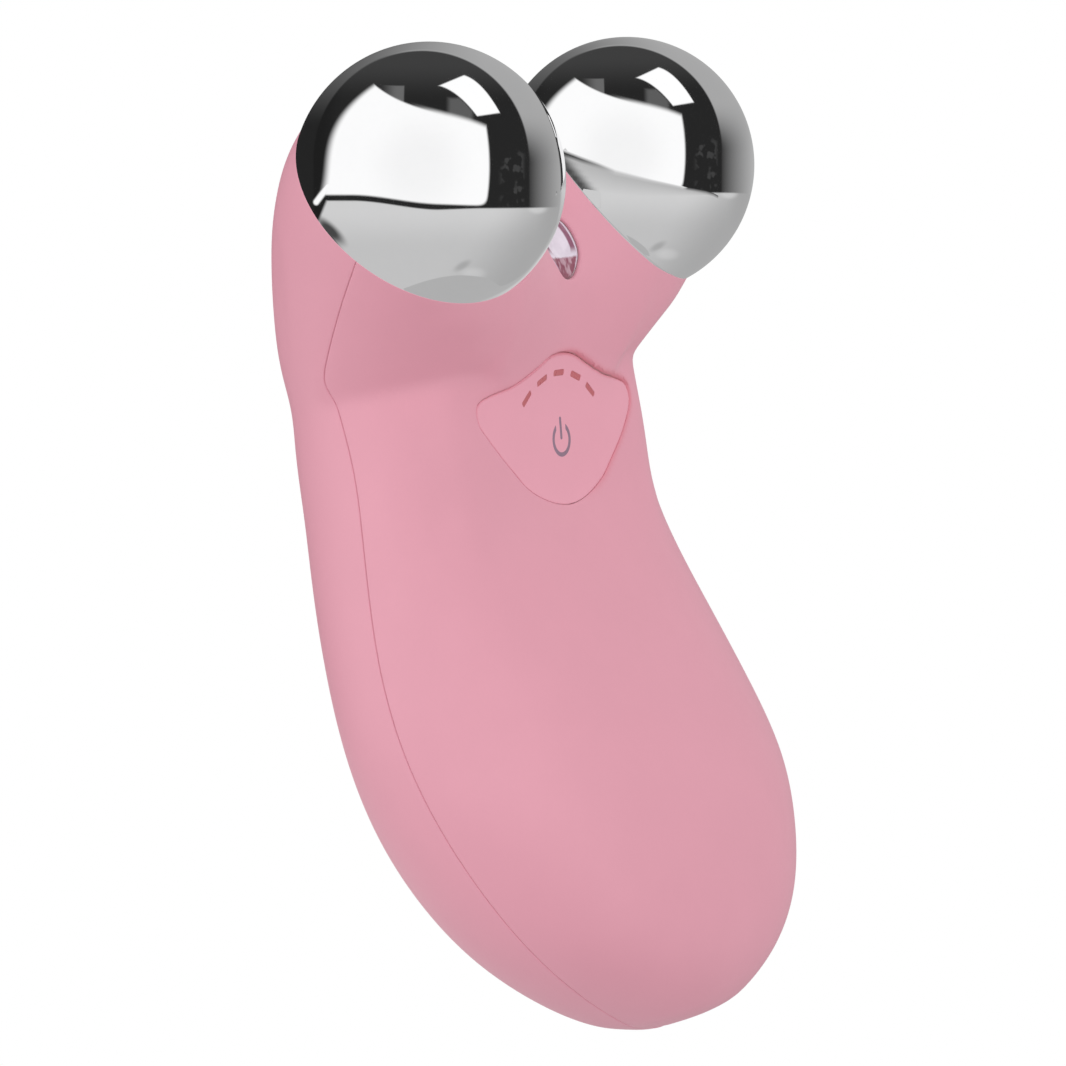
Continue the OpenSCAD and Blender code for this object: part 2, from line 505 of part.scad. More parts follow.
front_shell();
back_shell();
left_electrode_ball();
right_electrode_ball();
left_ball_seat();
right_ball_seat();
left_contact_screw();
right_contact_screw();
left_contact_washer();
right_contact_washer();
left_electrode_wire();
right_electrode_wire();
power_button();
indicator_windows();
power_symbol();
light_guide();
indicator_leds();
main_board();
board_screws();
tactile_switch();
switch_plunger();
microcontroller();
boost_inductor();
output_capacitors();
buzzer();
battery();
battery_pad();
battery_plug();
battery_leads();
charging_socket();
socket_pin();
socket_spring();
socket_leads();
lens_window();
lens_reflector();
lens_led();
lens_board();
lens_leads();
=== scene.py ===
import bpy, bmesh, json, math, time
import numpy as np
from mathutils import Vector, Matrix

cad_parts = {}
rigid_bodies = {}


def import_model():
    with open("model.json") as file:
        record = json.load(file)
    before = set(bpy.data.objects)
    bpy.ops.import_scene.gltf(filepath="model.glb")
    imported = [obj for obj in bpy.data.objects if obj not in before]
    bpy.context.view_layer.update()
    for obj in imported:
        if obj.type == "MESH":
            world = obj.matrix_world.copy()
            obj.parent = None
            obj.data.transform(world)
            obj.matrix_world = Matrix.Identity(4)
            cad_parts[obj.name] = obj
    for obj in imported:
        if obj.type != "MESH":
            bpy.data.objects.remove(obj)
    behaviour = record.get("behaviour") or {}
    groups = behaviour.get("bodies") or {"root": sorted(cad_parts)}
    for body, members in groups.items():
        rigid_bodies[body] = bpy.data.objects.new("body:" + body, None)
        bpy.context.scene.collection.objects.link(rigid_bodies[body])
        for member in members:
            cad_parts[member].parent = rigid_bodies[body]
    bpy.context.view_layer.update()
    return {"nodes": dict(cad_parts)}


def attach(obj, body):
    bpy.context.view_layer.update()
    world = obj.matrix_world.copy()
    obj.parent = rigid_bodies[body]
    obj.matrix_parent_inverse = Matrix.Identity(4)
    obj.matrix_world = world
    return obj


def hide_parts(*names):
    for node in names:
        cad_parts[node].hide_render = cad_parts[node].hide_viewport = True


T0 = time.time()
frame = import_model()
nodes = frame["nodes"]


def say(*a):
    print("[%.1f s]" % (time.time() - T0), *a)


# ------------------------------------------------------------------ layout
# lengths below are millimetres in the casing's own layout, which has its
# origin at the bottom tip; OFF takes it to the part's frame
OFF = np.array([0.0, 4.0, -1.0])
BALL_R, RIM_BACK = 17.0, 3.7
TILT, SPLAY = math.radians(62.5), math.radians(16.7)
RIM_R = math.sqrt(BALL_R ** 2 - RIM_BACK ** 2)
BALL = np.array([23.7, -8.0, 111.3])
FACE = np.array([math.sin(TILT) * math.sin(SPLAY), -math.sin(TILT) * math.cos(SPLAY), math.cos(TILT)])

SEC = np.array([
    [0.6, 4.7, -1.2, -5.6, 3.2, 2.2], [1.5, 8.2, -1.8, -9.2, 5.6, 2.2], [3, 11.7, -2.0, -12.0, 8.4, 2.2],
    [7, 18.0, -1.9, -15.7, 12.9, 2.2], [13, 24.5, -1.0, -18.2, 17.7, 2.2], [21, 29.5, 1.0, -19.2, 22.2, 2.2],
    [31, 33.0, 3.6, -18.4, 25.5, 2.2], [42, 34.2, 6.2, -14.8, 27.1, 2.2], [54, 33.3, 7.8, -9.2, 27.8, 2.4],
    [62, 32.2, 8.0, -5.5, 28.0, 2.6], [69, 31.3, 7.8, -3.4, 27.8, 2.8], [77, 30.2, 7.8, -4.2, 27.5, 2.9],
    [88, 29.0, 9.2, -6.0, 27.0, 2.9], [96, 28.4, 10.4, -7.6, 26.4, 2.9]])


def cubic(xs, ys):
    """Natural cubic spline through the points, as a function."""
    xs, ys = np.asarray(xs, float), np.asarray(ys, float)
    n, h = len(xs), np.diff(xs)
    A, r = np.zeros((n, n)), np.zeros(n)
    A[0, 0] = A[-1, -1] = 1
    for i in range(1, n - 1):
        A[i, i - 1], A[i, i], A[i, i + 1] = h[i - 1], 2 * (h[i - 1] + h[i]), h[i]
        r[i] = 6 * ((ys[i + 1] - ys[i]) / h[i] - (ys[i] - ys[i - 1]) / h[i - 1])
    m = np.linalg.solve(A, r)

    def f(x):
        x = np.clip(x, xs[0], xs[-1])
        i = np.clip(np.searchsorted(xs, x) - 1, 0, n - 2)
        a, b, hh = xs[i + 1] - x, x - xs[i], h[i]
        return (m[i] * a ** 3 + m[i + 1] * b ** 3) / (6 * hh) + (ys[i] / hh - m[i] * hh / 6) * a + (ys[i + 1] / hh - m[i + 1] * hh / 6) * b
    return f


U = np.sqrt(SEC[:, 0])
UU = np.r_[0.0, U]
WA = cubic(UU, np.r_[5.9, SEC[:, 1] / U])
DF = cubic(UU, np.r_[5.5, (SEC[:, 2] - SEC[:, 3]) / U])
DB = cubic(UU, np.r_[5.5, (SEC[:, 4] - SEC[:, 2]) / U])
PY = cubic(UU, np.r_[0.0, SEC[:, 2]])
NF = cubic(UU, np.r_[2.2, SEC[:, 5]])
BACK_N = 2.2


def body_raw(x, y, z):
    u = np.sqrt(np.clip(z, 0, 95.9))
    p = PY(u)
    yy = y - p
    fr = yy < 0
    e = np.where(fr, NF(u), BACK_N)
    d = np.where(fr, -yy / DF(u), yy / DB(u))
    q = (np.abs(x) / WA(u)) ** e + d ** e
    return q ** (2 / e) - np.minimum(z, 95.9)


def body_dist(x, y, z, h=0.05):
    f = body_raw(x, y, z)
    gx = (body_raw(x + h, y, z) - body_raw(x - h, y, z)) / (2 * h)
    gy = (body_raw(x, y + h, z) - body_raw(x, y - h, z)) / (2 * h)
    gz = (body_raw(x, y, z + h) - body_raw(x, y, z - h)) / (2 * h)
    return f / np.sqrt(gx * gx + gy * gy + gz * gz + 1e-9)


def front_y(x, z):
    """Front face of the body at x, z."""
    u = np.sqrt(z)
    e = NF(u)
    s = np.clip(1 - (np.abs(x) / (WA(u) * u)) ** e, 0, 1)
    return PY(u) - DF(u) * u * s ** (1 / e)


# horn: a stack of tilted discs from the ball's rim down into the casing,
# as back edge (s, z), front edge (s, z), half width and sideways shift
HEAD = np.array([-math.sin(SPLAY), math.cos(SPLAY)])
SIDE = np.array([math.cos(SPLAY), math.sin(SPLAY)])
RIM_C = BALL - RIM_BACK * FACE
ct, st = math.cos(TILT), math.sin(TILT)
DISCS = np.array([
    [RIM_R * ct, RIM_C[2] + RIM_R * st, -RIM_R * ct, RIM_C[2] - RIM_R * st, RIM_R, 0.0],
    [12.5, 121.6, -7.2, 94.4, 16.3, -0.2],
    [17.9, 117.0, -6.4, 93.2, 15.8, -0.6],
    [23.1, 111.1, -5.0, 91.7, 15.2, -1.2],
    [27.0, 103.5, -3.2, 90.2, 14.7, -2.0],
    [29.8, 95.5, -1.4, 88.7, 14.5, -2.8]])


def horn_planes():
    """Planes of the right horn's smooth hull, without the one that closes it at the ball."""
    fs = [cubic(range(len(DISCS)), DISCS[:, k]) for k in range(6)]
    pts = []
    for t in np.linspace(0, 5, 21):
        b0, b1, f0, f1, hw, sh = [f(t) for f in fs]
        for a in np.linspace(0, 2 * math.pi, 72, endpoint=False):
            c, s = math.cos(a), math.sin(a)
            S, Z = (b0 + f0) / 2 + c * (b0 - f0) / 2, (b1 + f1) / 2 + c * (b1 - f1) / 2
            L = sh + s * hw
            pts.append((RIM_C[0] + HEAD[0] * S + SIDE[0] * L, RIM_C[1] + HEAD[1] * S + SIDE[1] * L, Z))
    zf = 86.4
    u = math.sqrt(zf)
    w, p, df, db, e = float(WA(u) * u), float(PY(u)), float(DF(u) * u), float(DB(u) * u), float(NF(u))
    for a in np.linspace(-90, 90, 65):
        c, s = math.cos(math.radians(a)), math.sin(math.radians(a))
        k = 2 / (e if s < 0 else BACK_N)
        pts.append(((w - 0.1) * abs(c) ** k, p + math.copysign(abs(s) ** k, s) * ((df if s < 0 else db) - 0.1), zf))
    bm = bmesh.new()
    for q in pts:
        bm.verts.new(q)
    bmesh.ops.convex_hull(bm, input=bm.verts)
    bm.normal_update()
    pl = [(*f.normal, f.normal.dot(f.verts[0].co)) for f in bm.faces if f.calc_area() > 1e-5]
    bm.free()
    pl = np.array(pl)
    c = np.array([14.0, 8.0, 98.0])
    flip = (pl[:, :3] @ c - pl[:, 3]) > 0
    pl[flip] *= -1
    cap = pl[:, :3] @ FACE > 0.9995
    return pl[~cap]


WEB = np.array([[-5.7, 86.4], [-5.9, 87.4], [-8.4, 92], [-11, 96.7], [-10.9, 98.2], [-10.2, 100.2], [-9.3, 102.4],
                [-8.2, 104.6], [-6.8, 106.6], [-4.8, 108.2], [-1, 109.1], [5, 108], [11, 105], [17, 100.5], [22, 94.5], [26, 87]])


def web_planes():
    n = len(WEB)
    fy, fz = cubic(range(n), WEB[:, 0]), cubic(range(n), WEB[:, 1])
    t = np.linspace(1, n - 1, 60)
    p = np.c_[fy(t), fz(t)]
    d = np.diff(p, axis=0)
    nn = np.c_[-d[:, 1], d[:, 0]]
    nn /= np.linalg.norm(nn, axis=1)[:, None]
    return np.c_[nn, (nn * p[:-1]).sum(1)]


def step(a, b, x):
    t = np.clip((x - a) / (b - a), 0, 1)
    return t * t * (3 - 2 * t)


def smin(a, b, k):
    h = np.maximum(k - np.abs(a - b), 0) / k
    return np.minimum(a, b) - h * h * h * k / 6


def blur(G, s):
    r = int(math.ceil(3 * s))
    w = np.exp(-0.5 * (np.arange(-r, r + 1) / s) ** 2)
    w /= w.sum()
    for ax in range(3):
        P = np.pad(G, [(r, r) if a == ax else (0, 0) for a in range(3)], mode="edge")
        out = np.zeros_like(G)
        n = G.shape[ax]
        for k in range(2 * r + 1):
            out += w[k] * np.take(P, range(k, k + n), axis=ax)
        G = out
    return G


H = 0.65
NX, NY, NZ = 64, 88, 196
ORG = np.array([-NX * H, -24.0, -2.2])


FLAT = cubic([60, 66, 72, 77, 81, 85, 88, 92, 96], [0, 0, -0.1, 0.1, 0.3, 0.45, 0.35, 0, 0])


def bend(X, Y, Z):
    """How far the front face round the button is set back; it is flatter there than the sections say."""
    ax = np.abs(X)
    side = 0.0027 * ax * ax * step(27, 20, ax) * step(60, 69, Z) * step(93, 85, Z)
    return (FLAT(Z) * step(29, 20, ax) - side) * step(6.5, 1, Y)


def make_field():
    xs = np.arange(0, NX + 1) * H
    ys = ORG[1] + np.arange(NY) * H
    zs = ORG[2] + np.arange(NZ) * H
    X, Y, Z = np.meshgrid(xs, ys, zs, indexing="ij")
    Y = Y - bend(X, Y, Z)
    B = body_dist(X, Y, Z)
    kz = int((66 - ORG[2]) / H)
    x, y, z = X[:, :, kz:], Y[:, :, kz:], Z[:, :, kz:]
    b = np.maximum(B[:, :, kz:], z - 88.0)
    pl = horn_planes()
    P = np.c_[x.ravel(), y.ravel(), z.ravel()]
    few = pl[::12]
    hd = np.full(len(P), -1e9)
    for k in range(0, len(few), 16):
        hd = np.maximum(hd, (P @ few[k:k + 16, :3].T - few[k:k + 16, 3]).max(1))
    hd = np.maximum(hd, 84.5 - P[:, 2])
    near = np.where(np.abs(hd) < 6)[0]
    best = hd[near]
    Q = P[near]
    for k in range(0, len(pl), 64):
        best = np.maximum(best, (Q @ pl[k:k + 64, :3].T - pl[k:k + 64, 3]).max(1))
    hd[near] = best
    hd = hd.reshape(x.shape)
    wp = web_planes()
    wd = np.full(x.shape, -1e9)
    for a, c, d in wp:
        wd = np.maximum(wd, y * a + z * c - d)
    wd = np.maximum(wd, 84.5 - z)
    wd = np.maximum(wd, x - 13)
    top = smin(hd, wd, 9.0)
    # the two horns also meet across the mirror plane
    hm = np.full(x.shape, 1e9)
    F = np.minimum(b, top)
    full = np.concatenate([F[:0:-1], F])
    f1 = blur(full, 0.75 / H)[NX:]
    f4 = blur(full, 3.2 / H)[NX:] + 0.0
    wgt = np.maximum(step(9, 17, y), step(17.5, 9, x) * step(72, 86, z))
    wgt = wgt * (1 - 0.0 * z)
    top = f1 * (1 - wgt) + f4 * wgt
    k = step(70, 80, z)
    G = B
    G[:, :, kz:] = B[:, :, kz:] * (1 - k) + top * k
    say("field", len(pl), "planes,", len(near), "near")
    return np.concatenate([G[:0:-1], G])


def nets(G):
    inside = G < 0
    nx, ny, nz = G.shape
    cnt = np.zeros((nx - 1, ny - 1, nz - 1), np.int8)
    cor = [(i, j, k) for i in (0, 1) for j in (0, 1) for k in (0, 1)]
    for i, j, k in cor:
        cnt += inside[i:nx - 1 + i, j:ny - 1 + j, k:nz - 1 + k]
    act = np.argwhere((cnt > 0) & (cnt < 8))
    idx = -np.ones(cnt.shape, np.int64)
    idx[tuple(act.T)] = np.arange(len(act))
    acc, num = np.zeros((len(act), 3)), np.zeros(len(act))
    for a in cor:
        for ax in range(3):
            if a[ax]:
                continue
            b = list(a)
            b[ax] = 1
            ga, gb = G[tuple((act + a).T)], G[tuple((act + b).T)]
            m = (ga < 0) != (gb < 0)
            t = ga[m] / (ga[m] - gb[m])
            pos = np.tile(np.array(a, float), (m.sum(), 1))
            pos[:, ax] += t
            acc[m] += pos
            num[m] += 1
    V = (act + acc / num[:, None]) * H + ORG
    quads = []
    for ax in range(3):
        o1, o2 = [(1, 2), (2, 0), (0, 1)][ax]
        sl = [slice(1, -1)] * 3
        sl[ax] = slice(0, -1)
        s2 = list(sl)
        s2[ax] = slice(1, None)
        A, Bb = inside[tuple(sl)], inside[tuple(s2)]
        e = np.argwhere(A != Bb)
        up = A[tuple(e.T)]
        base = e + 1
        base[:, ax] -= 1
        def c(d1, d2):
            q = base.copy()
            q[:, o1] += d1
            q[:, o2] += d2
            return idx[tuple(q.T)]
        q = np.c_[c(-1, -1), c(0, -1), c(0, 0), c(-1, 0)]
        q[~up] = q[~up][:, ::-1]
        quads.append(q)
    return V, np.vstack(quads)


def bspline(G, P, grad=True):
    q = (P - ORG) / H
    i = np.floor(q).astype(int)
    i = np.clip(i, 1, np.array(G.shape) - 3)
    t = q - i
    W = [(1 - t) ** 3 / 6, (3 * t ** 3 - 6 * t * t + 4) / 6, (-3 * t ** 3 + 3 * t * t + 3 * t + 1) / 6, t ** 3 / 6]
    D = [-(1 - t) ** 2 / 2, (9 * t * t - 12 * t) / 6, (-9 * t * t + 6 * t + 3) / 6, t * t / 2]
    v, g = np.zeros(len(P)), np.zeros((len(P), 3))
    for a in range(4):
        for b in range(4):
            wxy, dxy, wdy = W[a][:, 0] * W[b][:, 1], D[a][:, 0] * W[b][:, 1], W[a][:, 0] * D[b][:, 1]
            for c in range(4):
                s = G[i[:, 0] + a - 1, i[:, 1] + b - 1, i[:, 2] + c - 1]
                v += s * wxy * W[c][:, 2]
                if grad:
                    g[:, 0] += s * dxy * W[c][:, 2]
                    g[:, 1] += s * wdy * W[c][:, 2]
                    g[:, 2] += s * wxy * D[c][:, 2]
    return v, g / H


FIELD = make_field()


def surf(P):
    return bspline(FIELD, P)


V0, Q0 = nets(FIELD)
say("nets", len(V0), "vertices", len(Q0), "quads")


def relax(V, Q, times):
    """Evens out the mesh within the surface."""
    e = np.vstack([Q[:, [0, 1]], Q[:, [1, 2]], Q[:, [2, 3]], Q[:, [3, 0]]])
    e = np.vstack([e, e[:, ::-1]])
    n = np.bincount(e[:, 0], minlength=len(V))
    for _ in range(times):
        s = np.zeros_like(V)
        for k in range(3):
            s[:, k] = np.bincount(e[:, 0], weights=V[e[:, 1], k], minlength=len(V))
        d = s / n[:, None] - V
        f, g = surf(V)
        nrm = g / np.linalg.norm(g, axis=1)[:, None]
        V = V + 0.5 * (d - nrm * (d * nrm).sum(1)[:, None])
        f, g = surf(V)
        V = V - g * (f / (g * g).sum(1))[:, None]
    return V


V0 = relax(V0, Q0, 4)
say("relaxed")
F0 = np.vstack([Q0[:, [0, 1, 2]], Q0[:, [0, 2, 3]]])


# ------------------------------------------------------------------ curves
def part_line(x, z):
    p = PY(np.sqrt(np.clip(z, 0, 88)))
    k = np.clip((z - 88) / 1.6, 0, 1)
    p = p + (9.5 - p) * k
    t = np.clip((z - 89.6) / 12.8, 0, 3)
    side = step(13, 27, np.abs(x))
    up = -13.8 * t + 0.5 * 4 * np.clip(t, 0, 1) * (1 - np.clip(t, 0, 1))
    return np.where(z < 89.6, p, 9.5 + up * side)


def part_y(x, z):
    """The parting line with its corner at the horns' foot rounded."""
    return sum(w * part_line(x, z + h) for h, w in ((-1.8, 1), (-1.2, 2), (-0.6, 3), (0.0, 4), (0.6, 3), (1.2, 2), (1.8, 1))) / 16


def closed(points, per=8):
    """Dense closed smooth curve through the points."""
    p = np.array(points, float)
    n = len(p)
    out = []
    for i in range(n):
        a, b, c, d = p[i - 1], p[i], p[(i + 1) % n], p[(i + 2) % n]
        for f in np.arange(per) / per:
            out.append(0.5 * (2 * b + (c - a) * f + (2 * a - 5 * b + 4 * c - d) * f * f + (3 * b - a - 3 * c + d) * f ** 3))
    return np.array(out)


def sdf2(poly, q):
    """Signed distance to a closed polygon, negative inside."""
    a, b = poly, np.roll(poly, -1, axis=0)
    best = np.full(len(q), 1e9)
    ins = np.zeros(len(q), bool)
    for (ax, ay), (bx, by) in zip(a, b):
        ex, ey = bx - ax, by - ay
        wx, wy = q[:, 0] - ax, q[:, 1] - ay
        t = np.clip((wx * ex + wy * ey) / (ex * ex + ey * ey + 1e-12), 0, 1)
        best = np.minimum(best, (wx - ex * t) ** 2 + (wy - ey * t) ** 2)
        c = (ay > q[:, 1]) != (by > q[:, 1])
        if abs(ey) > 1e-12:
            ins ^= c & (q[:, 0] < ex * (q[:, 1] - ay) / ey + ax)
    d = np.sqrt(best)
    return np.where(ins, -d, d)


SH = [[0, 87.7], [3, 87.3], [5.8, 86.2], [8.8, 85.1], [11.6, 84.3], [15, 83.8], [17.2, 83.3],
      [18.3, 82.5], [18.5, 81.3], [18.2, 80], [16.4, 77.8], [14, 75.4], [11.6, 73.3], [9.3, 71.4], [6.6, 70], [3.3, 68.9], [0, 68.5]]
SHIELD = closed(SH + [[-x, z] for x, z in SH[-2:0:-1]], 6)


def stadium(l, w, n=8):
    a = np.linspace(-90, 90, n)
    r = w / 2
    e = [((l - w) / 2 + r * math.cos(math.radians(t)), r * math.sin(math.radians(t))) for t in a]
    return np.array(e + [(-x, -y) for x, y in e])


LZ = 101.9
LN = [[0, 96.7], [0.8, 96.8], [1.5, 97.15], [2.1, 97.75], [2.75, 98.6], [3.35, 99.5], [3.75, 100.5], [3.95, 101.8], [4, 103.3],
      [3.8, 104.7], [3, 105.9], [1.6, 106.7], [0, 106.9]]
LENS = closed(LN + [[-x, z] for x, z in LN[-2:0:-1]], 6)


def inside_box(P, lo, hi):
    return ((P >= lo) & (P <= hi)).all(1)


def local(P, lo, hi, fn, far):
    """fn on the points in the box, far elsewhere."""
    out = np.full(len(P), float(far))
    m = inside_box(P, np.array(lo), np.array(hi))
    if m.any():
        out[m] = fn(P[m])
    return out


GAP = 0.02
CURVES = {
    "front": lambda P: P[:, 1] - part_y(P[:, 0], P[:, 2]) + GAP,
    "back": lambda P: part_y(P[:, 0], P[:, 2]) - P[:, 1] + GAP,
    "rimR": lambda P: (P - BALL) @ FACE + RIM_BACK,
    "rimL": lambda P: (P - BALL * [-1, 1, 1]) @ (FACE * [-1, 1, 1]) + RIM_BACK,
    "shield": lambda P: -local(P, (-24, -20, 62), (24, 4, 92), lambda q: sdf2(SHIELD, q[:, [0, 2]]), 9),
    "lens": lambda P: -local(P, (-8, -16, 92), (8, 1.0, 112), lambda q: sdf2(LENS, q[:, [0, 2]]), 9),
    "land": lambda P: -local(P, (-14, -14, -5), (14, 8, 4), lambda q: np.maximum(q[:, 2] - LAND_Z, sdf2(LAND, q[:, :2])), 9),
    "hole": lambda P: -local(P, (-14, -14, -5), (14, 8, 4), lambda q: np.hypot(q[:, 0], q[:, 1] + 4) - 2.95, 9),
}
LAND, LAND_Z = stadium(11.6, 5.6, 14) + [0, -4], 0.5
ARC, ARC_C, ARC_STEP, SW_Z = 12.6, 72.7, math.radians(18.9), 77.0


def rounded(x, z, hx, hz, r):
    a, b = np.abs(x) - hx + r, np.abs(z) - hz + r
    return np.hypot(np.maximum(a, 0), np.maximum(b, 0)) + np.minimum(np.maximum(a, b), 0) - r


def dash_dist(q):
    """Distance to the nearest of the five level-light outlines."""
    best = np.full(len(q), 1e9)
    for k in range(-2, 3):
        a = k * ARC_STEP
        x, z = q[:, 0] - ARC * math.sin(a), q[:, 1] - ARC_C - ARC * math.cos(a)
        best = np.minimum(best, rounded(x * math.cos(a) - z * math.sin(a), x * math.sin(a) + z * math.cos(a), 1.25, 0.375, 0.2))
    return best


def symbol_dist(q):
    x, z = q[:, 0], q[:, 1] - SW_Z + 0.1
    ring = np.abs(np.hypot(x, z) - 1.93) - 0.275
    ring = np.maximum(ring, -np.maximum(np.abs(x) - 1.12, -z))
    return np.minimum(ring, rounded(x, z - 1.45, 0.25, 1.45, 0.2))


CURVES["cap"] = lambda P: local(P, (-24, -20, 62), (24, 4, 92), lambda q: sdf2(SHIELD, q[:, [0, 2]]), 9) + 0.08
CURVES["foot"] = lambda P: local(P, (-24, -20, 62), (24, 4, 92), lambda q: sdf2(SHIELD, q[:, [0, 2]]), 9) + 0.04
CURVES["dashes"] = lambda P: dash_dist(P[:, [0, 2]])
CURVES["undash"] = lambda P: -dash_dist(P[:, [0, 2]])
CURVES["sign"] = lambda P: symbol_dist(P[:, [0, 2]])
CURVES["unsign"] = lambda P: -symbol_dist(P[:, [0, 2]])
NAMES = list(CURVES)


def grad_of(fn, P, h=0.02):
    g = np.zeros_like(P)
    for k in range(3):
        d = np.zeros(3)
        d[k] = h
        g[:, k] = (fn(P + d) - fn(P - d)) / (2 * h)
    return g


def project(P, M):
    """Moves points onto the surface and onto every curve in their mask."""
    P = P.copy()
    for _ in range(3):
        f, g = surf(P)
        for m in np.unique(M):
            w = np.where(M == m)[0]
            C, J = [f[w]], [g[w]]
            for k, n in enumerate(NAMES):
                if m >> k & 1:
                    C.append(CURVES[n](P[w]))
                    J.append(grad_of(CURVES[n], P[w]))
            C, J = np.stack(C, 1), np.stack(J, 1)
            A = J @ J.transpose(0, 2, 1) + np.eye(C.shape[1]) * 1e-6
            dlt = -(J.transpose(0, 2, 1) @ np.linalg.solve(A, C[:, :, None]))[:, :, 0]
            L = np.linalg.norm(dlt, axis=1)
            dlt *= np.minimum(1, 0.3 / np.maximum(L, 1e-9))[:, None]
            P[w] += dlt
    return P


def clip(V, F, M, name, snap=0.2):
    """Cuts a triangle mesh along a curve and keeps the side where the curve's function is negative."""
    bit = 1 << NAMES.index(name)
    g = CURVES[name](V)
    e = np.sort(np.vstack([F[:, [0, 1]], F[:, [1, 2]], F[:, [2, 0]]]), axis=1)
    e = np.unique(e, axis=0)
    cr = e[(g[e[:, 0]] < 0) != (g[e[:, 1]] < 0)]
    v = np.unique(cr)
    near = v[np.abs(g[v]) < snap]
    V, M = V.copy(), M.copy()
    M[near] |= bit
    V[near] = project(V[near], M[near])
    g[near] = 0.0
    s = np.sign(g).astype(int)
    # whole triangles on the kept side
    S = s[F]
    keep = (S <= 0).all(1) & ~(S == 0).all(1)
    flat3 = (S == 0).all(1)
    cut = (S < 0).any(1) & (S > 0).any(1)
    out = [F[keep]]
    if flat3.any():
        mid = CURVES[name](V[F[flat3]].mean(1)) < 0
        out.append(F[flat3][mid])
    new, pos, msk = {}, [], []
    n0 = len(V)

    def edge(a, b):
        k = (a, b) if a < b else (b, a)
        if k not in new:
            t = g[k[0]] / (g[k[0]] - g[k[1]])
            new[k] = n0 + len(pos)
            pos.append(V[k[0]] * (1 - t) + V[k[1]] * t)
            msk.append((M[k[0]] & M[k[1]]) | bit)
        return new[k]
    tri = []
    for a, b, c in F[cut]:
        r = [a, b, c]
        sg = [s[a], s[b], s[c]]
        poly = []
        for i in range(3):
            p, q = r[i], r[(i + 1) % 3]
            if sg[i] <= 0:
                poly.append(p)
            if sg[i] * sg[(i + 1) % 3] < 0:
                poly.append(edge(p, q))
        if len(poly) == 3:
            tri.append(poly)
        elif len(poly) == 4:
            tri.append([poly[0], poly[1], poly[2]])
            tri.append([poly[0], poly[2], poly[3]])
    if tri:
        out.append(np.array(tri))
    if pos:
        pos, msk = np.array(pos), np.array(msk)
        pos = project(pos, msk)
        V, M = np.vstack([V, pos]), np.r_[M, msk]
    F = np.vstack(out)
    used = np.unique(F)
    mp = -np.ones(len(V), int)
    mp[used] = np.arange(len(used))
    return V[used], mp[F], M[used]


def border(F):
    e = np.vstack([F[:, [0, 1]], F[:, [1, 2]], F[:, [2, 0]]])
    k = np.sort(e, axis=1)
    u, inv, c = np.unique(k, axis=0, return_inverse=True, return_counts=True)
    return e[c[inv] == 1]


def tangent_pull(V, N, M):
    """Per border vertex: the vector that leads one millimetre back into the kept surface from every curve."""
    out = np.zeros_like(V)
    for m in np.unique(M):
        if m == 0:
            continue
        w = np.where(M == m)[0]
        J = []
        for k, n in enumerate(NAMES):
            if m >> k & 1:
                g = grad_of(CURVES[n], V[w])
                g -= N[w] * (g * N[w]).sum(1)[:, None]
                J.append(g / np.maximum(np.linalg.norm(g, axis=1), 1e-6)[:, None])
        J = np.stack(J, 1)
        A = J @ J.transpose(0, 2, 1) + np.eye(J.shape[1]) * 0.02
        out[w] = -(J.transpose(0, 2, 1) @ np.linalg.solve(A, np.ones((len(w), J.shape[1], 1))))[:, :, 0]
    return out


def shell_mesh(V, F, M, thick=1.7, lip=0.13, seg=3, lips=(), sink=None):
    """Closed shell from an open skin, with rounded lips along its borders.

    lips gives other radii for the borders cut by some curves; sink lowers
    the whole skin by a distance that may differ from place to place."""
    f, g = surf(V)
    N = g / np.linalg.norm(g, axis=1)[:, None]
    be = border(F)
    bv = np.unique(be)
    loc = -np.ones(len(V), int)
    loc[bv] = np.arange(len(bv))
    L = np.full(len(bv), lip)
    for nm, r in dict(lips).items():
        on = (M[bv] >> NAMES.index(nm) & 1) > 0
        L[on] = r(V[bv][on]) if callable(r) else r
    L = L[:, None]
    pull = tangent_pull(V[bv], N[bv], M[bv])
    S = V if sink is None else V - N * sink(V)[:, None]
    P, n = S[bv].copy(), N[bv]
    pull = pull * L
    outer = S.copy()
    outer[bv] = P + pull
    C = P + pull - n * L
    verts = [outer]
    rings = [bv]
    base = len(V)
    for k in range(1, seg + 1):
        a = 0.5 * math.pi * k / seg
        verts.append(C + n * L * math.cos(a) - pull * math.sin(a))
        rings.append(base + np.arange(len(bv)))
        base += len(bv)
    inner = S - N * thick
    inner[bv] = P - n * thick
    verts.append(inner)
    ib = base
    rings.append(ib + bv)
    base += len(V)
    faces = [F, F[:, ::-1] + ib]
    for r0, r1 in zip(rings[:-1], rings[1:]):
        a0, b0 = r0[loc[be[:, 0]]], r0[loc[be[:, 1]]]
        a1, b1 = r1[loc[be[:, 0]]], r1[loc[be[:, 1]]]
        faces += [np.c_[b0, a0, a1], np.c_[b0, a1, b1]]
    return np.vstack(verts), np.vstack(faces)


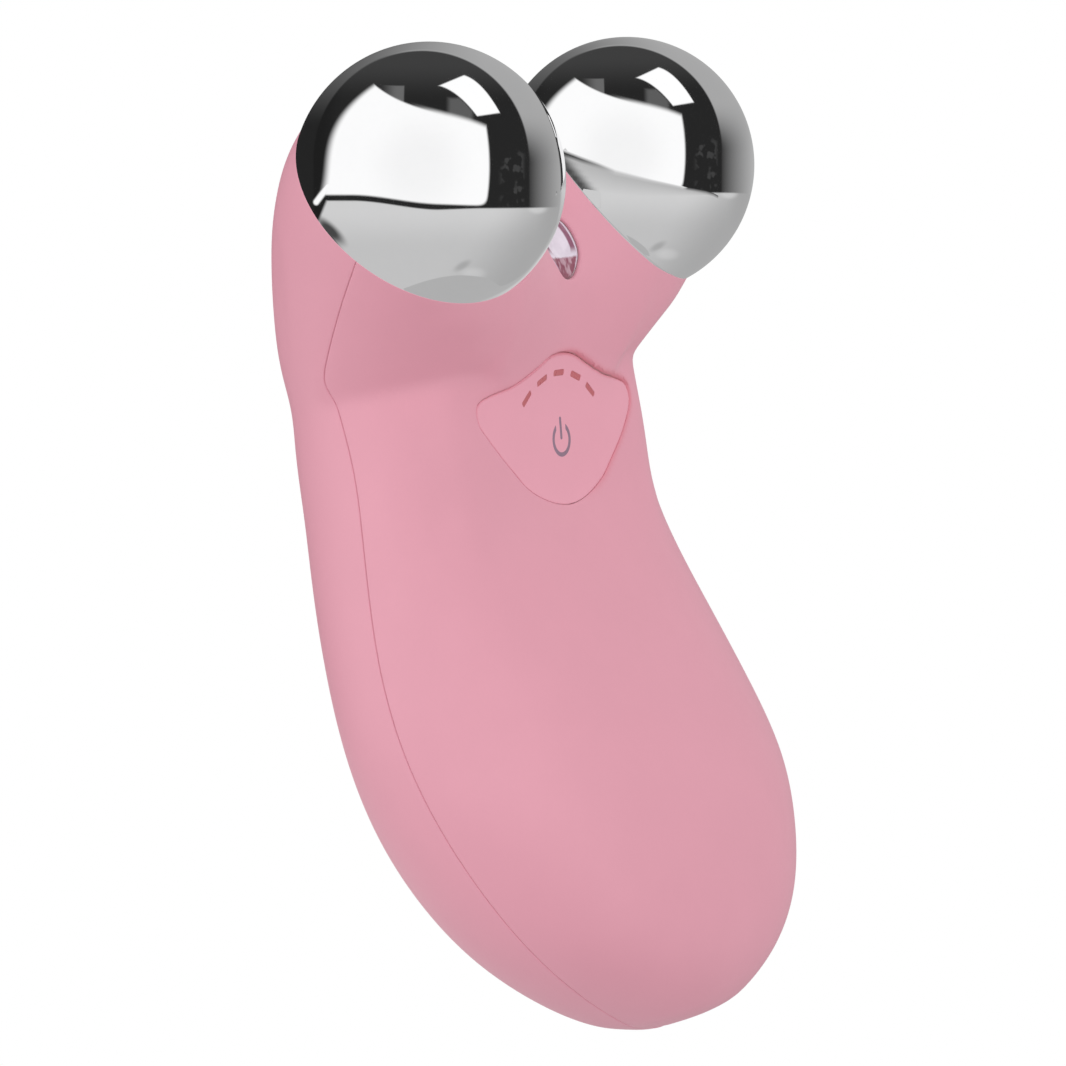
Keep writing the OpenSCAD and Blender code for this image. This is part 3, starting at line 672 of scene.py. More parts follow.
def add_mesh(name, V, F, body, mats, smooth=True, sharp=40.0, fi=None, place=True):
    me = bpy.data.meshes.new(name)
    P = (V + OFF) * 0.001 if place else V * 0.001
    if isinstance(F, np.ndarray):
        k = F.shape[1]
        me.vertices.add(len(P))
        me.vertices.foreach_set("co", P.astype(np.float32).ravel())
        me.loops.add(F.size)
        me.loops.foreach_set("vertex_index", F.astype(np.int32).ravel())
        me.polygons.add(len(F))
        me.polygons.foreach_set("loop_start", np.arange(0, F.size, k, dtype=np.int32))
        me.polygons.foreach_set("loop_total", np.full(len(F), k, np.int32))
        me.update(calc_edges=True)
    else:
        me.from_pydata([tuple(p) for p in P], [], [tuple(int(i) for i in f) for f in F])
    me.validate()
    o = bpy.data.objects.new(name, me)
    bpy.context.scene.collection.objects.link(o)
    for m in mats:
        me.materials.append(m)
    if fi is not None:
        me.polygons.foreach_set("material_index", np.asarray(fi, np.int32))
    if smooth:
        me.polygons.foreach_set("use_smooth", np.ones(len(me.polygons), bool))
        me.set_sharp_from_angle(angle=math.radians(sharp))
    me.update()
    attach(o, body)
    return o


# --------------------------------------------------------------- materials
class Sock:
    """A node socket with arithmetic."""

    def __init__(self, g, o):
        self.g, self.o = g, o

    def __add__(self, b): return self.g.math("ADD", self, b)
    def __radd__(self, b): return self.g.math("ADD", b, self)
    def __sub__(self, b): return self.g.math("SUBTRACT", self, b)
    def __rsub__(self, b): return self.g.math("SUBTRACT", b, self)
    def __mul__(self, b): return self.g.math("MULTIPLY", self, b)
    def __rmul__(self, b): return self.g.math("MULTIPLY", b, self)
    def __neg__(self): return self.g.math("MULTIPLY", self, -1.0)


class Graph:
    def __init__(self, tree):
        self.t = tree
        tree.nodes.clear()

    def node(self, kind, **kw):
        n = self.t.nodes.new(kind)
        for k, v in kw.items():
            setattr(n, k, v)
        return n

    def put(self, sock, v):
        if isinstance(v, Sock):
            self.t.links.new(v.o, sock)
        elif v is not None:
            sock.default_value = v

    def math(self, op, a, b=None, c=None):
        n = self.node("ShaderNodeMath", operation=op)
        for i, v in enumerate((a, b, c)):
            if v is not None:
                self.put(n.inputs[i], v)
        return Sock(self, n.outputs[0])

    def vec(self, op, a, b=None):
        n = self.node("ShaderNodeVectorMath", operation=op)
        self.put(n.inputs[0], a)
        if b is not None:
            self.put(n.inputs[1], b)
        return Sock(self, n.outputs["Value" if op in ("DOT_PRODUCT", "LENGTH") else "Vector"])

    def ss(self, x, a, b, lo=0.0, hi=1.0, kind="SMOOTHSTEP"):
        """Smooth step from lo at a to hi at b."""
        if a > b:
            a, b, lo, hi = b, a, hi, lo
        n = self.node("ShaderNodeMapRange", interpolation_type=kind, clamp=True)
        for k, v in enumerate((x, a, b, lo, hi)):
            self.put(n.inputs[k], v)
        return Sock(self, n.outputs[0])

    def min(self, *v):
        r = v[0]
        for x in v[1:]:
            r = self.math("MINIMUM", r, x)
        return r

    def max(self, *v):
        r = v[0]
        for x in v[1:]:
            r = self.math("MAXIMUM", r, x)
        return r

    def poly(self, x, co):
        """Polynomial with the highest power first."""
        r = float(co[0])
        for c in co[1:]:
            r = self.math("MULTIPLY_ADD", x, r, float(c))
        return r

    def mix(self, a, b, f):
        return self.math("MULTIPLY_ADD", b - a if isinstance(b, Sock) or isinstance(a, Sock) else float(b - a), f, a)

    def hypot(self, a, b):
        return self.math("SQRT", a * a + b * b)


def lin(c):
    c = c / 255
    return c / 12.92 if c <= 0.04045 else ((c + 0.055) / 1.055) ** 2.4


def rgb(r, g, b):
    return (lin(r), lin(g), lin(b))


def material(name, base, rough, metal=0.0, tint=0.05, patch=160.0, grain=2600.0, bump=0.12, dist=0.00004, rvar=0.05,
             shift=(1.0, 0.97, 0.98), streak=None, painted_edge_shade=None, **extra):
    """Surface with slow colour drift, fine grain in the relief and uneven gloss; the edge colour is painted shade, a
    deep red mixed in where the mesh's attribute says so.
    """
    m = bpy.data.materials.new(name)
    m.use_nodes = True
    g = Graph(m.node_tree)
    out = g.node("ShaderNodeOutputMaterial")
    p = g.node("ShaderNodeBsdfPrincipled")
    g.t.links.new(p.outputs[0], out.inputs[0])
    tc = g.node("ShaderNodeTexCoord")
    co_ = Sock(g, tc.outputs["Object"])
    if streak:
        mp = g.node("ShaderNodeMapping")
        g.put(mp.inputs[0], co_)
        mp.inputs["Scale"].default_value = streak
        co_ = Sock(g, mp.outputs[0])

    def noise(scale, detail, rough_=0.55):
        n = g.node("ShaderNodeTexNoise")
        g.put(n.inputs["Vector"], co_)
        n.inputs["Scale"].default_value = scale
        n.inputs["Detail"].default_value = detail
        n.inputs["Roughness"].default_value = rough_
        return Sock(g, n.outputs[0])
    slow, fine = noise(patch, 3), noise(grain, 2)
    f = g.ss(slow, 0.25, 0.75) * 0.7 + g.ss(fine, 0.2, 0.8) * 0.3
    mx = g.node("ShaderNodeMix", data_type="RGBA")
    g.put(mx.inputs[0], f)
    a = tuple(min(1.0, c * (1 + tint * s)) for c, s in zip(base, shift))
    b = tuple(c * (1 - tint * (2 - s)) for c, s in zip(base, shift))
    mx.inputs[6].default_value = (*a, 1)
    mx.inputs[7].default_value = (*b, 1)
    g.t.links.new(mx.outputs[2], p.inputs["Base Color"])
    # painted shade: a deep red mixed into the colour near the button's edge
    if painted_edge_shade:
        at = g.node("ShaderNodeAttribute", attribute_name="painted_edge_shade")
        m2 = g.node("ShaderNodeMix", data_type="RGBA")
        g.t.links.new(at.outputs["Fac"], m2.inputs[0])
        g.t.links.new(mx.outputs[2], m2.inputs[6])
        m2.inputs[7].default_value = (*painted_edge_shade, 1)
        g.t.links.new(m2.outputs[2], p.inputs["Base Color"])
    g.put(p.inputs["Roughness"], g.ss(slow * 0.5 + fine * 0.5, 0.3, 0.7, max(0.01, rough - rvar), rough + rvar))
    if metal:
        p.inputs["Metallic"].default_value = metal
    bp = g.node("ShaderNodeBump")
    bp.inputs["Strength"].default_value = bump
    bp.inputs["Distance"].default_value = dist
    g.put(bp.inputs["Height"], fine * 0.7 + noise(grain * 3.1, 1) * 0.3)
    g.t.links.new(bp.outputs[0], p.inputs["Normal"])
    for k, v in extra.items():
        p.inputs[k.replace("_", " ")].default_value = v
    return m


def painted_lens_material():
    """Moulded window, opaque, with painted light: pale inside, a painted rose shade low down as if the shaded casing
    showed through it, with painted highlights and darker streaks in that, a painted highlight along the bevel, a
    painted shade line beside it and a painted dark line along the edge.
    """
    m = material("lens_with_painted_light", (0.80, 0.74, 0.83), 0.06, tint=0.06, patch=420, grain=1500, bump=0.02, dist=0.00001, rvar=0.02,
                 shift=(1, 0.98, 1), IOR=1.5)
    g = Graph.__new__(Graph)
    g.t = m.node_tree
    p = next(n for n in g.t.nodes if n.type == "BSDF_PRINCIPLED")
    pale = Sock(g, p.inputs["Base Color"].links[0].from_socket)
    at = g.node("ShaderNodeAttribute", attribute_name="edge")
    d = Sock(g, at.outputs["Fac"])
    tc = g.node("ShaderNodeTexCoord")
    xyz = g.node("ShaderNodeSeparateXYZ")
    g.t.links.new(tc.outputs["Object"], xyz.inputs[0])
    z = Sock(g, xyz.outputs[2]) * 1000.0 - (OFF[2] + 99.7)
    ns = g.node("ShaderNodeTexNoise")
    mp = g.node("ShaderNodeMapping")
    g.t.links.new(tc.outputs["Object"], mp.inputs[0])
    mp.inputs["Scale"].default_value = (1, 1, 0.45)
    mp.inputs["Rotation"].default_value = (0, 0.5, 0)
    g.t.links.new(mp.outputs[0], ns.inputs["Vector"])
    ns.inputs["Scale"].default_value = 700
    ns.inputs["Detail"].default_value = 3
    wave = Sock(g, ns.outputs[0])

    def over(under, colour, f):
        n = g.node("ShaderNodeMix", data_type="RGBA")
        g.put(n.inputs[0], f)
        g.put(n.inputs[6], under)
        n.inputs[7].default_value = (*colour, 1)
        return Sock(g, n.outputs[2])
    # painted shade: the lower part turns rose as if the shaded casing showed through, with painted highlights and
    # darker streaks in it
    low = g.ss(z + (wave - 0.5) * 0.8, 0.15, -0.25)
    c = over(pale, rgb(150, 92, 108), low)
    c = over(c, rgb(196, 160, 172), low * g.ss(wave, 0.52, 0.62))
    c = over(c, rgb(112, 52, 66), low * g.ss(wave, 0.46, 0.36))
    # painted shade: a rose line inside the edge, upper part only
    c = over(c, rgb(140, 78, 104), g.min(g.ss(d, 0.45, 0.6), g.ss(d, 1.5, 1.2), g.ss(z, 0.2, 1.4)) * 0.9)
    # painted highlight: a pale line along the bevel
    c = over(c, rgb(226, 208, 228), g.min(g.ss(d, 0.1, 0.2), g.ss(d, 0.5, 0.4), g.ss(z, -2.2, -0.6)) * 0.95)
    # painted shade: a dark line along the very edge
    c = over(c, rgb(120, 50, 62), g.ss(d, 0.13, 0.05))
    g.t.links.new(c.o, p.inputs["Base Color"])
    return m


PINK = (0.80, 0.371, 0.458)
MAT = {
    # the casing and the button carry a deep red for painted shade about the button's edge
    "casing_pink": material("casing_satin", PINK, 0.44, tint=0.018, patch=90, grain=3200, bump=0.10, dist=0.00002, painted_edge_shade=(0.72, 0.17, 0.22)),
    "button_pink": material("button_satin", tuple(c * 1.07 for c in PINK), 0.42, tint=0.015, patch=120, grain=3600, bump=0.09, dist=0.00002, painted_edge_shade=(0.76, 0.22, 0.28)),
    "chrome_plating": material("ball_chrome", (0.90, 0.90, 0.905), 0.035, 1.0, tint=0.012, patch=60, grain=900, bump=0.02, dist=0.00001, rvar=0.012, shift=(1, 1, 1)),
    "seat_nylon": material("seat_black_nylon", (0.022, 0.022, 0.024), 0.5, tint=0.2),
    "contact_brass": material("contact_brass", (0.62, 0.44, 0.18), 0.28, 1.0, tint=0.1, rvar=0.08),
    "wire_red": material("wire_red_silicone", (0.42, 0.03, 0.025), 0.45, tint=0.12, streak=(1, 1, 6)),
    "indicator_rose": material("indicator_rose", rgb(196, 108, 114), 0.3, tint=0.06, bump=0.05, dist=0.00001),
    "symbol_mauve": material("symbol_mauve", rgb(150, 124, 142), 0.4, tint=0.06, bump=0.05, dist=0.00001),
    "guide_clear": material("guide_acrylic", (0.95, 0.93, 0.96), 0.08, tint=0.02, Transmission_Weight=0.9, IOR=1.49),
    "led_cream": material("led_phosphor", (0.82, 0.72, 0.42), 0.35, tint=0.08),
    "board_green": material("board_solder_mask", (0.02, 0.15, 0.06), 0.3, tint=0.25, patch=500),
    "fastener_steel": material("fastener_steel", (0.56, 0.56, 0.58), 0.3, 1.0, tint=0.08, rvar=0.1, streak=(1, 9, 1)),
    "chip_black": material("chip_black_epoxy", (0.02, 0.02, 0.022), 0.42, tint=0.2),
    "plunger_ivory": material("plunger_ivory", (0.66, 0.61, 0.5), 0.4, tint=0.06),
    "ferrite_grey": material("ferrite_grey", (0.07, 0.065, 0.06), 0.6, tint=0.25),
    "capacitor_can": material("capacitor_can", (0.7, 0.71, 0.74), 0.25, 1.0, tint=0.06, streak=(1, 8, 1)),
    "battery_foil": material("battery_foil", (0.64, 0.65, 0.68), 0.36, 1.0, tint=0.08, patch=300, bump=0.3, dist=0.0001),
    "foam_grey": material("foam_grey", (0.05, 0.05, 0.055), 0.9, tint=0.3, grain=1500, bump=0.6, dist=0.0002),
    "socket_black": material("socket_black", (0.018, 0.018, 0.02), 0.38, tint=0.2),
    "pin_nickel": material("pin_nickel", (0.72, 0.7, 0.66), 0.2, 1.0, tint=0.05, streak=(1, 1, 8)),
    "lens_clear": painted_lens_material(),
    "reflector_white": material("reflector_white", (0.84, 0.80, 0.86), 0.4, tint=0.03),
}
SLOT = {
    "left_electrode_ball": "chrome_plating", "right_electrode_ball": "chrome_plating", "left_ball_seat": "seat_nylon",
    "right_ball_seat": "seat_nylon", "left_contact_screw": "contact_brass", "right_contact_screw": "contact_brass",
    "left_contact_washer": "contact_brass", "right_contact_washer": "contact_brass", "left_electrode_wire": "wire_red",
    "right_electrode_wire": "wire_red", "light_guide": "guide_clear", "indicator_leds": "led_cream", "main_board": "board_green",
    "board_screws": "fastener_steel", "tactile_switch": "chip_black", "switch_plunger": "plunger_ivory",
    "microcontroller": "chip_black", "boost_inductor": "ferrite_grey", "output_capacitors": "capacitor_can",
    "buzzer": "chip_black", "battery": "battery_foil", "battery_pad": "foam_grey", "battery_plug": "led_cream",
    "battery_leads": "wire_red", "charging_socket": "socket_black", "socket_pin": "pin_nickel", "socket_spring": "contact_brass",
    "socket_leads": "wire_red", "lens_reflector": "reflector_white", "lens_led": "led_cream", "lens_board": "board_green",
    "lens_leads": "wire_red", "front_shell": "casing_pink", "back_shell": "casing_pink", "power_button": "button_pink",
    "indicator_windows": "indicator_rose", "power_symbol": "symbol_mauve", "lens_window": "lens_clear"}
for n, o in nodes.items():
    o.data.materials.clear()
    o.data.materials.append(MAT[SLOT[n]])


def piece(name, V, F, body, key, covers, **kw):
    """A new piece with its material, standing for the CAD nodes it covers."""
    o = add_mesh(name, V, F, body, [MAT[key]], **kw)
    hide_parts(*covers)
    bm = bmesh.new()
    bm.from_mesh(o.data)
    bad = sum(1 for e in bm.edges if len(e.link_faces) != 2)
    say(name, len(bm.faces), "faces, open edges", bad, "volume %.3f cm3" % (bm.calc_volume() * 1e6))
    bm.free()
    return o


def join(*parts):
    V, F, k = [], [], 0
    for v, f in parts:
        V.append(v)
        F.append(f + k)
        k += len(v)
    return np.vstack(V), np.vstack(F)


def fan(n, rings):
    """Triangles between consecutive closed rings of n points, first and last capped to a centre point each."""
    F = []
    i = np.arange(n)
    j = (i + 1) % n
    for k in range(rings - 1):
        a, b = k * n, (k + 1) * n
        F += [np.c_[a + i, b + i, b + j], np.c_[a + i, b + j, a + j]]
    lo, hi = rings * n, rings * n + 1
    F += [np.c_[np.full(n, lo), i, j], np.c_[np.full(n, hi), (rings - 1) * n + j, (rings - 1) * n + i]]
    return np.vstack(F)


# ----------------------------------------------------------------- casing
LIPS = {"shield": lambda P: 0.12 + 0.5 * step(79, 87, P[:, 2] + 0.12 * P[:, 0]), "rimR": 0.05, "rimL": 0.05, "lens": 0.3,
        "front": 0.18, "back": 0.18, "land": 0.08, "hole": 0.1}
M0 = np.zeros(len(V0), int)
sk = clip(V0, F0, M0, "rimR")
sk = clip(*sk, "rimL")
fr = clip(*sk, "front")
fr = clip(*fr, "shield")
fr = clip(*fr, "lens")
fr = clip(*fr, "land")
fr = clip(*fr, "hole")
bk = clip(*sk, "back")
say("clipped", len(fr[1]), len(bk[1]))


def bottom_z(x, y):
    """Height of the skin's underside at x, y."""
    z = np.full(len(x), 0.4)
    for _ in range(14):
        f, g = surf(np.c_[x, y, z])
        z -= np.clip(f / np.where(np.abs(g[:, 2]) < 0.05, -0.05, g[:, 2]), -0.5, 0.5)
    return z


def landing():
    """Floor of the shallow landing round the socket, with the collar that lines its hole."""
    n = 120
    ang = np.linspace(0, 2 * math.pi, n, endpoint=False)
    d = np.c_[np.cos(ang), np.sin(ang)]
    rr = np.arange(3.0, 5.6, 0.05)
    Q = d[:, None] * rr[None, :, None] + [0, -4]
    q = Q.reshape(-1, 2)
    zz = bottom_z(q[:, 0], q[:, 1])
    free = (np.maximum(zz - LAND_Z, sdf2(LAND, q)) > 0).reshape(n, -1)
    reach = np.where(free.any(1), free.argmax(1), len(rr) - 1)
    out = np.maximum(rr[reach], 3.02)
    low = np.where(reach > 0, LAND_Z, zz.reshape(n, -1)[:, 0] + 0.06)
    rings = []
    for r, z in ((out, low + 1.2), (out, low + 0.05), (out - 0.02, low), (np.full(n, 2.98), low), (np.full(n, 2.94), low + 0.05), (np.full(n, 2.94), low + 1.2)):
        rings.append(np.c_[d * r[:, None] + [0, -4], z])
    V = np.vstack(rings)
    i = np.arange(n)
    j = (i + 1) % n
    F = []
    m = len(rings)
    for k in range(m):
        a, b = k * n, ((k + 1) % m) * n
        F += [np.c_[a + i, b + j, b + i], np.c_[a + i, a + j, b + j]]
    return V, np.vstack(F)


def outward(V, F):
    """Turns a closed mesh right side out."""
    a, b, c = V[F[:, 0]], V[F[:, 1]], V[F[:, 2]]
    return (V, F) if (np.cross(a, b) * c).sum() > 0 else (V, F[:, ::-1])


shells = [piece("front_casing", *join(shell_mesh(*fr, lips=LIPS), outward(*landing())), "casing", "casing_pink", ["front_shell"]),
          piece("back_casing", *shell_mesh(*bk, lips=LIPS), "casing", "casing_pink", ["back_shell"])]


# ------------------------------------------------------------------ balls
def ball_mesh(side):
    """Plated shell: sphere, rounded rim, skirt, inner face and hollow boss."""
    R, W = BALL_R, 1.5
    rim_z = -RIM_BACK + 0.06
    e = 0.08
    prof = [(0.0, R)]
    a_end = math.acos((rim_z + e) / (R - 0.0))
    for t in np.linspace(0, a_end, 110)[1:]:
        prof.append((R * math.sin(t), R * math.cos(t)))
    pr, pz = prof[-1]
    for t in np.linspace(0, math.pi / 2, 7)[1:]:
        prof.append((pr - e * (1 - math.cos(t)), pz - e * math.sin(t)))
    sk_r = 15.15
    prof += [(sk_r + 0.1, rim_z), (sk_r, rim_z - 0.1), (sk_r, -RIM_BACK - 1.4), (sk_r - 0.1, -RIM_BACK - 1.5), (sk_r - W, -RIM_BACK - 1.5)]
    zi = math.sqrt((R - W) ** 2 - (sk_r - W) ** 2)
    prof.append((sk_r - W, -zi))
    a0, a1 = math.acos(-zi / (R - W)), math.asin(3.2 / (R - W))
    for t in np.linspace(a0, a1, 50)[1:]:
        prof.append(((R - W) * math.sin(t), (R - W) * math.cos(t)))
    prof += [(3.2, -RIM_BACK - 0.4), (3.1, -RIM_BACK - 0.5), (1.5, -RIM_BACK - 0.5), (1.5, -RIM_BACK + 7.9), (0.0, -RIM_BACK + 8.2)]
    prof = np.array(prof)
    n = 224
    ang = np.linspace(0, 2 * math.pi, n, endpoint=False)
    f = FACE * [side, 1, 1]
    a = np.cross(f, [0, 0, 1.0])
    a /= np.linalg.norm(a)
    b = np.cross(f, a)
    c = BALL * [side, 1, 1]
    ring = prof[1:-1]
    V = np.vstack([c + f * z + r * (np.cos(ang)[:, None] * a + np.sin(ang)[:, None] * b) for r, z in ring]
                  + [[c + f * prof[0, 1]], [c + f * prof[-1, 1]]])
    return outward(V, fan(n, len(ring)))


balls = [piece(n + "_chrome_ball", *ball_mesh(side), "casing", "chrome_plating", [n + "_electrode_ball"], sharp=30)
         for side, n in ((-1, "left"), (1, "right"))]
for o in shells + balls[:1]:
    o.visible_glossy = False
for o in balls:
    o.visible_diffuse = False


# ------------------------------------------------------------------ button
def on_front(x, z):
    """Points of the casing's front skin at x, z."""
    y = front_y(x, np.minimum(z, 88.0))
    P = np.c_[x, y, z]
    for _ in range(8):
        f, g = surf(P)
        P[:, 1] -= np.clip(f / np.where(np.abs(g[:, 1]) < 0.05, -0.05, g[:, 1]), -1, 1)
    return P


def steps(*knots):
    """Increasing values: (start, step), ... , end."""
    out = []
    for (a, h), nxt in zip(knots[:-1], knots[1:]):
        b = nxt[0] if isinstance(nxt, tuple) else nxt
        out += list(np.linspace(a, b, max(1, round((b - a) / h)), endpoint=False))
    return np.array(out + [knots[-1]])


gx = steps((-19.2, 0.3), (-12.6, 0.15), (-3.0, 0.12), (3.0, 0.15), (12.6, 0.3), 19.2)
gz = steps((67.8, 0.3), (73.9, 0.12), (80.2, 0.15), (86.0, 0.2), 88.6)
GX, GZ = np.meshgrid(gx, gz, indexing="ij")
Vg = on_front(GX.ravel(), GZ.ravel())
nz_ = len(gz)
ii, jj = np.meshgrid(np.arange(len(gx) - 1), np.arange(nz_ - 1), indexing="ij")
q00 = (ii * nz_ + jj).ravel()
q10, q01, q11 = q00 + nz_, q00 + 1, q00 + nz_ + 1
Fg = np.vstack([np.c_[q00, q10, q11], np.c_[q00, q11, q01]])
# the front faces look towards -Y
nn = np.cross(Vg[Fg[0, 1]] - Vg[Fg[0, 0]], Vg[Fg[0, 2]] - Vg[Fg[0, 0]])
if nn[1] > 0:
    Fg = Fg[:, ::-1]
Mg = np.zeros(len(Vg), int)
say("cap grid", len(Vg))


def cap_sink(V):
    return 0.03 + 0.16 * step(80.5, 87.5, V[:, 2] + 0.10 * V[:, 0])


capg = clip(Vg, Fg, Mg, "cap", snap=0.07)
footg = clip(Vg, Fg, Mg, "foot", snap=0.03)
body_ = clip(*capg, "undash", snap=0.06)
body_ = clip(*body_, "unsign", snap=0.05)
win = clip(*capg, "dashes", snap=0.06)
sig = clip(*capg, "sign", snap=0.05)


def rod(c, axis, r, l, n=40, e=0.15):
    """Cylinder from c along a unit axis, with broken edges."""
    axis = np.array(axis, float)
    a = np.cross(axis, [0.3, 0.2, 0.9])
    a /= np.linalg.norm(a)
    b = np.cross(axis, a)
    ang = np.linspace(0, 2 * math.pi, n, endpoint=False)
    rr = [(r - e, 0), (r, e), (r, l - e), (r - e, l)]
    V = np.vstack([np.array(c) + axis * h + q * (np.cos(ang)[:, None] * a + np.sin(ang)[:, None] * b) for q, h in rr]
                  + [[np.array(c, float)], [np.array(c) + axis * l]])
    return outward(V, fan(n, len(rr)))


capm = shell_mesh(*body_, thick=1.5, lip=0.3, seg=4, sink=cap_sink,
                  lips={"cap": lambda P: 0.13 + 0.22 * step(77, 85, P[:, 2] + 0.12 * P[:, 0]), "undash": 0.05, "unsign": 0.03})
foot = shell_mesh(*footg, thick=0.9, lip=0.02, seg=2, sink=lambda V: cap_sink(V) + 0.44)
post = rod([0, -2.6, SW_Z], [0, 1, 0], 2.0, 4.6)
cap = piece("power_button_cap", *join(capm, foot, post), "button", "button_pink", ["power_button"], sharp=50)
# painted shade: the floor of the gap round the cap is a darker deep red without gloss
cap.data.materials.append(material("button_gap_painted_shade", (0.50, 0.105, 0.145), 0.9, tint=0.04, bump=0.05, Specular_IOR_Level=0.0))
slot = np.zeros(len(cap.data.polygons), np.int32)
slot[len(capm[1]):len(capm[1]) + len(foot[1])] = 1
cap.data.polygons.foreach_set("material_index", slot)
piece("level_lights", *shell_mesh(*win, thick=1.3, lip=0.05, seg=2, sink=lambda V: cap_sink(V) + 0.05), "button", "indicator_rose",
      ["indicator_windows"], sharp=50)
piece("power_sign", *shell_mesh(*sig, thick=0.35, lip=0.02, seg=2, sink=lambda V: cap_sink(V) + 0.005), "button", "symbol_mauve",
      ["power_symbol"], sharp=50)


def mark_painted_edge_shade(o, wide):
    """Writes the painted shade about the button's edge: how much deep red each point gets, standing in for the shade
    and the light bounced in the gap.
    """
    P = np.zeros(len(o.data.vertices) * 3, np.float32)
    o.data.vertices.foreach_get("co", P)
    P = P.reshape(-1, 3) * 1000 - OFF
    d = local(P, (-24, -20, 62), (24, 4, 92), lambda q: np.abs(sdf2(SHIELD, q[:, [0, 2]])), 9)
    # painted shade strongest along the top and on the right, the sides turned from the light
    w = np.maximum(0.6 * step(77, 85, P[:, 2] + 0.12 * P[:, 0]), 0.4 * step(2, 12, P[:, 0]))
    w = w * step(wide, 0.06, d) * (0.3 + 0.7 * step(-4, 4, P[:, 0]))
    o.data.attributes.new("painted_edge_shade", "FLOAT", "POINT").data.foreach_set("value", w.astype(np.float32))


# painted shade about the button's edge, on the casing and on the cap
mark_painted_edge_shade(shells[0], 0.9)
mark_painted_edge_shade(cap, 0.45)


# -------------------------------------------------------------------- lens
def lens_mesh():
    """Clear insert: bevelled edge, slightly domed face, flat back."""
    n = 180
    d = np.r_[0, np.cumsum(np.linalg.norm(np.diff(np.vstack([LENS, LENS[:1]]), axis=0), axis=1))]
    t = np.linspace(0, d[-1], n, endpoint=False)
    P = np.vstack([LENS, LENS[:1]])
    o = np.c_[np.interp(t, d, P[:, 0]), np.interp(t, d, P[:, 1])]
    cen = np.array([0, LZ])
    rings = []
    for k, dep in ((0.985, 1.25), (0.985, 0.6), (0.975, 0.52), (0.9, 0.3), (0.885, 0.27), (0.85, 0.26), (0.8, 0.25), (0.74, 0.24), (0.68, 0.23),
                   (0.6, 0.22), (0.5, 0.2), (0.38, 0.19), (0.25, 0.18), (0.12, 0.17)):
        rings.append((cen + (o - cen) * k, dep))
    V = []
    for q, dep in rings:
        S = on_front(q[:, 0], q[:, 1])
        f, g = surf(S)
        V.append(S - g / np.linalg.norm(g, axis=1)[:, None] * dep)
    c = on_front(cen[:1], np.array([LZ]))
    f, g = surf(c)
    nn_ = g / np.linalg.norm(g, axis=1)[:, None]
    V = np.vstack(V + [(c - nn_ * 1.25), (c - nn_ * 0.165)])
    return outward(V, fan(n, len(rings)))


lens = piece("glow_window", *lens_mesh(), "casing", "lens_clear", ["lens_window"], sharp=35)
edge = np.array([v.co for v in lens.data.vertices]) * 1000 - OFF
at = lens.data.attributes.new("edge", "FLOAT", "POINT")
at.data.foreach_set("value", (-sdf2(LENS, edge[:, [0, 2]])).astype(np.float32))

# what stands in for the casing in the balls' mirror image: the bare table
for n in ("power_button_cap", "level_lights", "power_sign", "glow_window"):
    bpy.data.objects[n].visible_glossy = False


def card(name, V, F, level):
    """Glowing card that only mirrors see, bright on its outer side with a brightness for each of its points: a painted
    reflection, not a lamp.
    """
    m = bpy.data.materials.new(name)
    m.use_nodes = True
    c = Graph(m.node_tree)
    mo, em = c.node("ShaderNodeOutputMaterial"), c.node("ShaderNodeEmission")
    em.inputs[0].default_value = (1, 1, 1, 1)
    sh = c.node("ShaderNodeAttribute", attribute_name="shade")
    c.t.links.new(sh.outputs["Fac"], em.inputs[1])
    tr, mi, ge = c.node("ShaderNodeBsdfTransparent"), c.node("ShaderNodeMixShader"), c.node("ShaderNodeNewGeometry")
    c.t.links.new(ge.outputs["Backfacing"], mi.inputs[0])
    c.t.links.new(em.outputs[0], mi.inputs[1])
    c.t.links.new(tr.outputs[0], mi.inputs[2])
    c.t.links.new(mi.outputs[0], mo.inputs[0])
    me = bpy.data.meshes.new(name)
    me.from_pydata([tuple(p) for p in (V + OFF) * 0.001], [], [tuple(int(i) for i in f) for f in F])
    me.materials.append(m)
    me.attributes.new("shade", "FLOAT", "POINT").data.foreach_set("value", np.broadcast_to(np.asarray(level, np.float32), len(me.vertices)).copy())
    o = bpy.data.objects.new(name, me)
    bpy.context.scene.collection.objects.link(o)
    o.visible_camera = o.visible_diffuse = o.visible_transmission = o.visible_shadow = False


# painted reflection: a glowing sheet just under the casing's skin, seen only by mirrors, showing a pale table where
# the casing would be, brighter high up between the horns
f, g = surf(sk[0])
Vl = sk[0] - 0.5 * g / np.linalg.norm(g, axis=1)[:, None]
Fl, be, mid = [sk[1]], border(sk[1]), []
for k, nm in enumerate(("rimR", "rimL")):
    e = be[(sk[2][be] >> NAMES.index(nm) & 1).all(1)]
    mid.append(Vl[np.unique(e)].mean(0))
    Fl.append(np.c_[e[:, ::-1], np.full(len(e), len(Vl) + k)])
Vl = np.vstack([Vl] + mid)
card("card_low", Vl, np.vstack(Fl), 0.47 + 0.19 * step(90, 98, Vl[:, 2]) * step(8, 2, Vl[:, 0]))

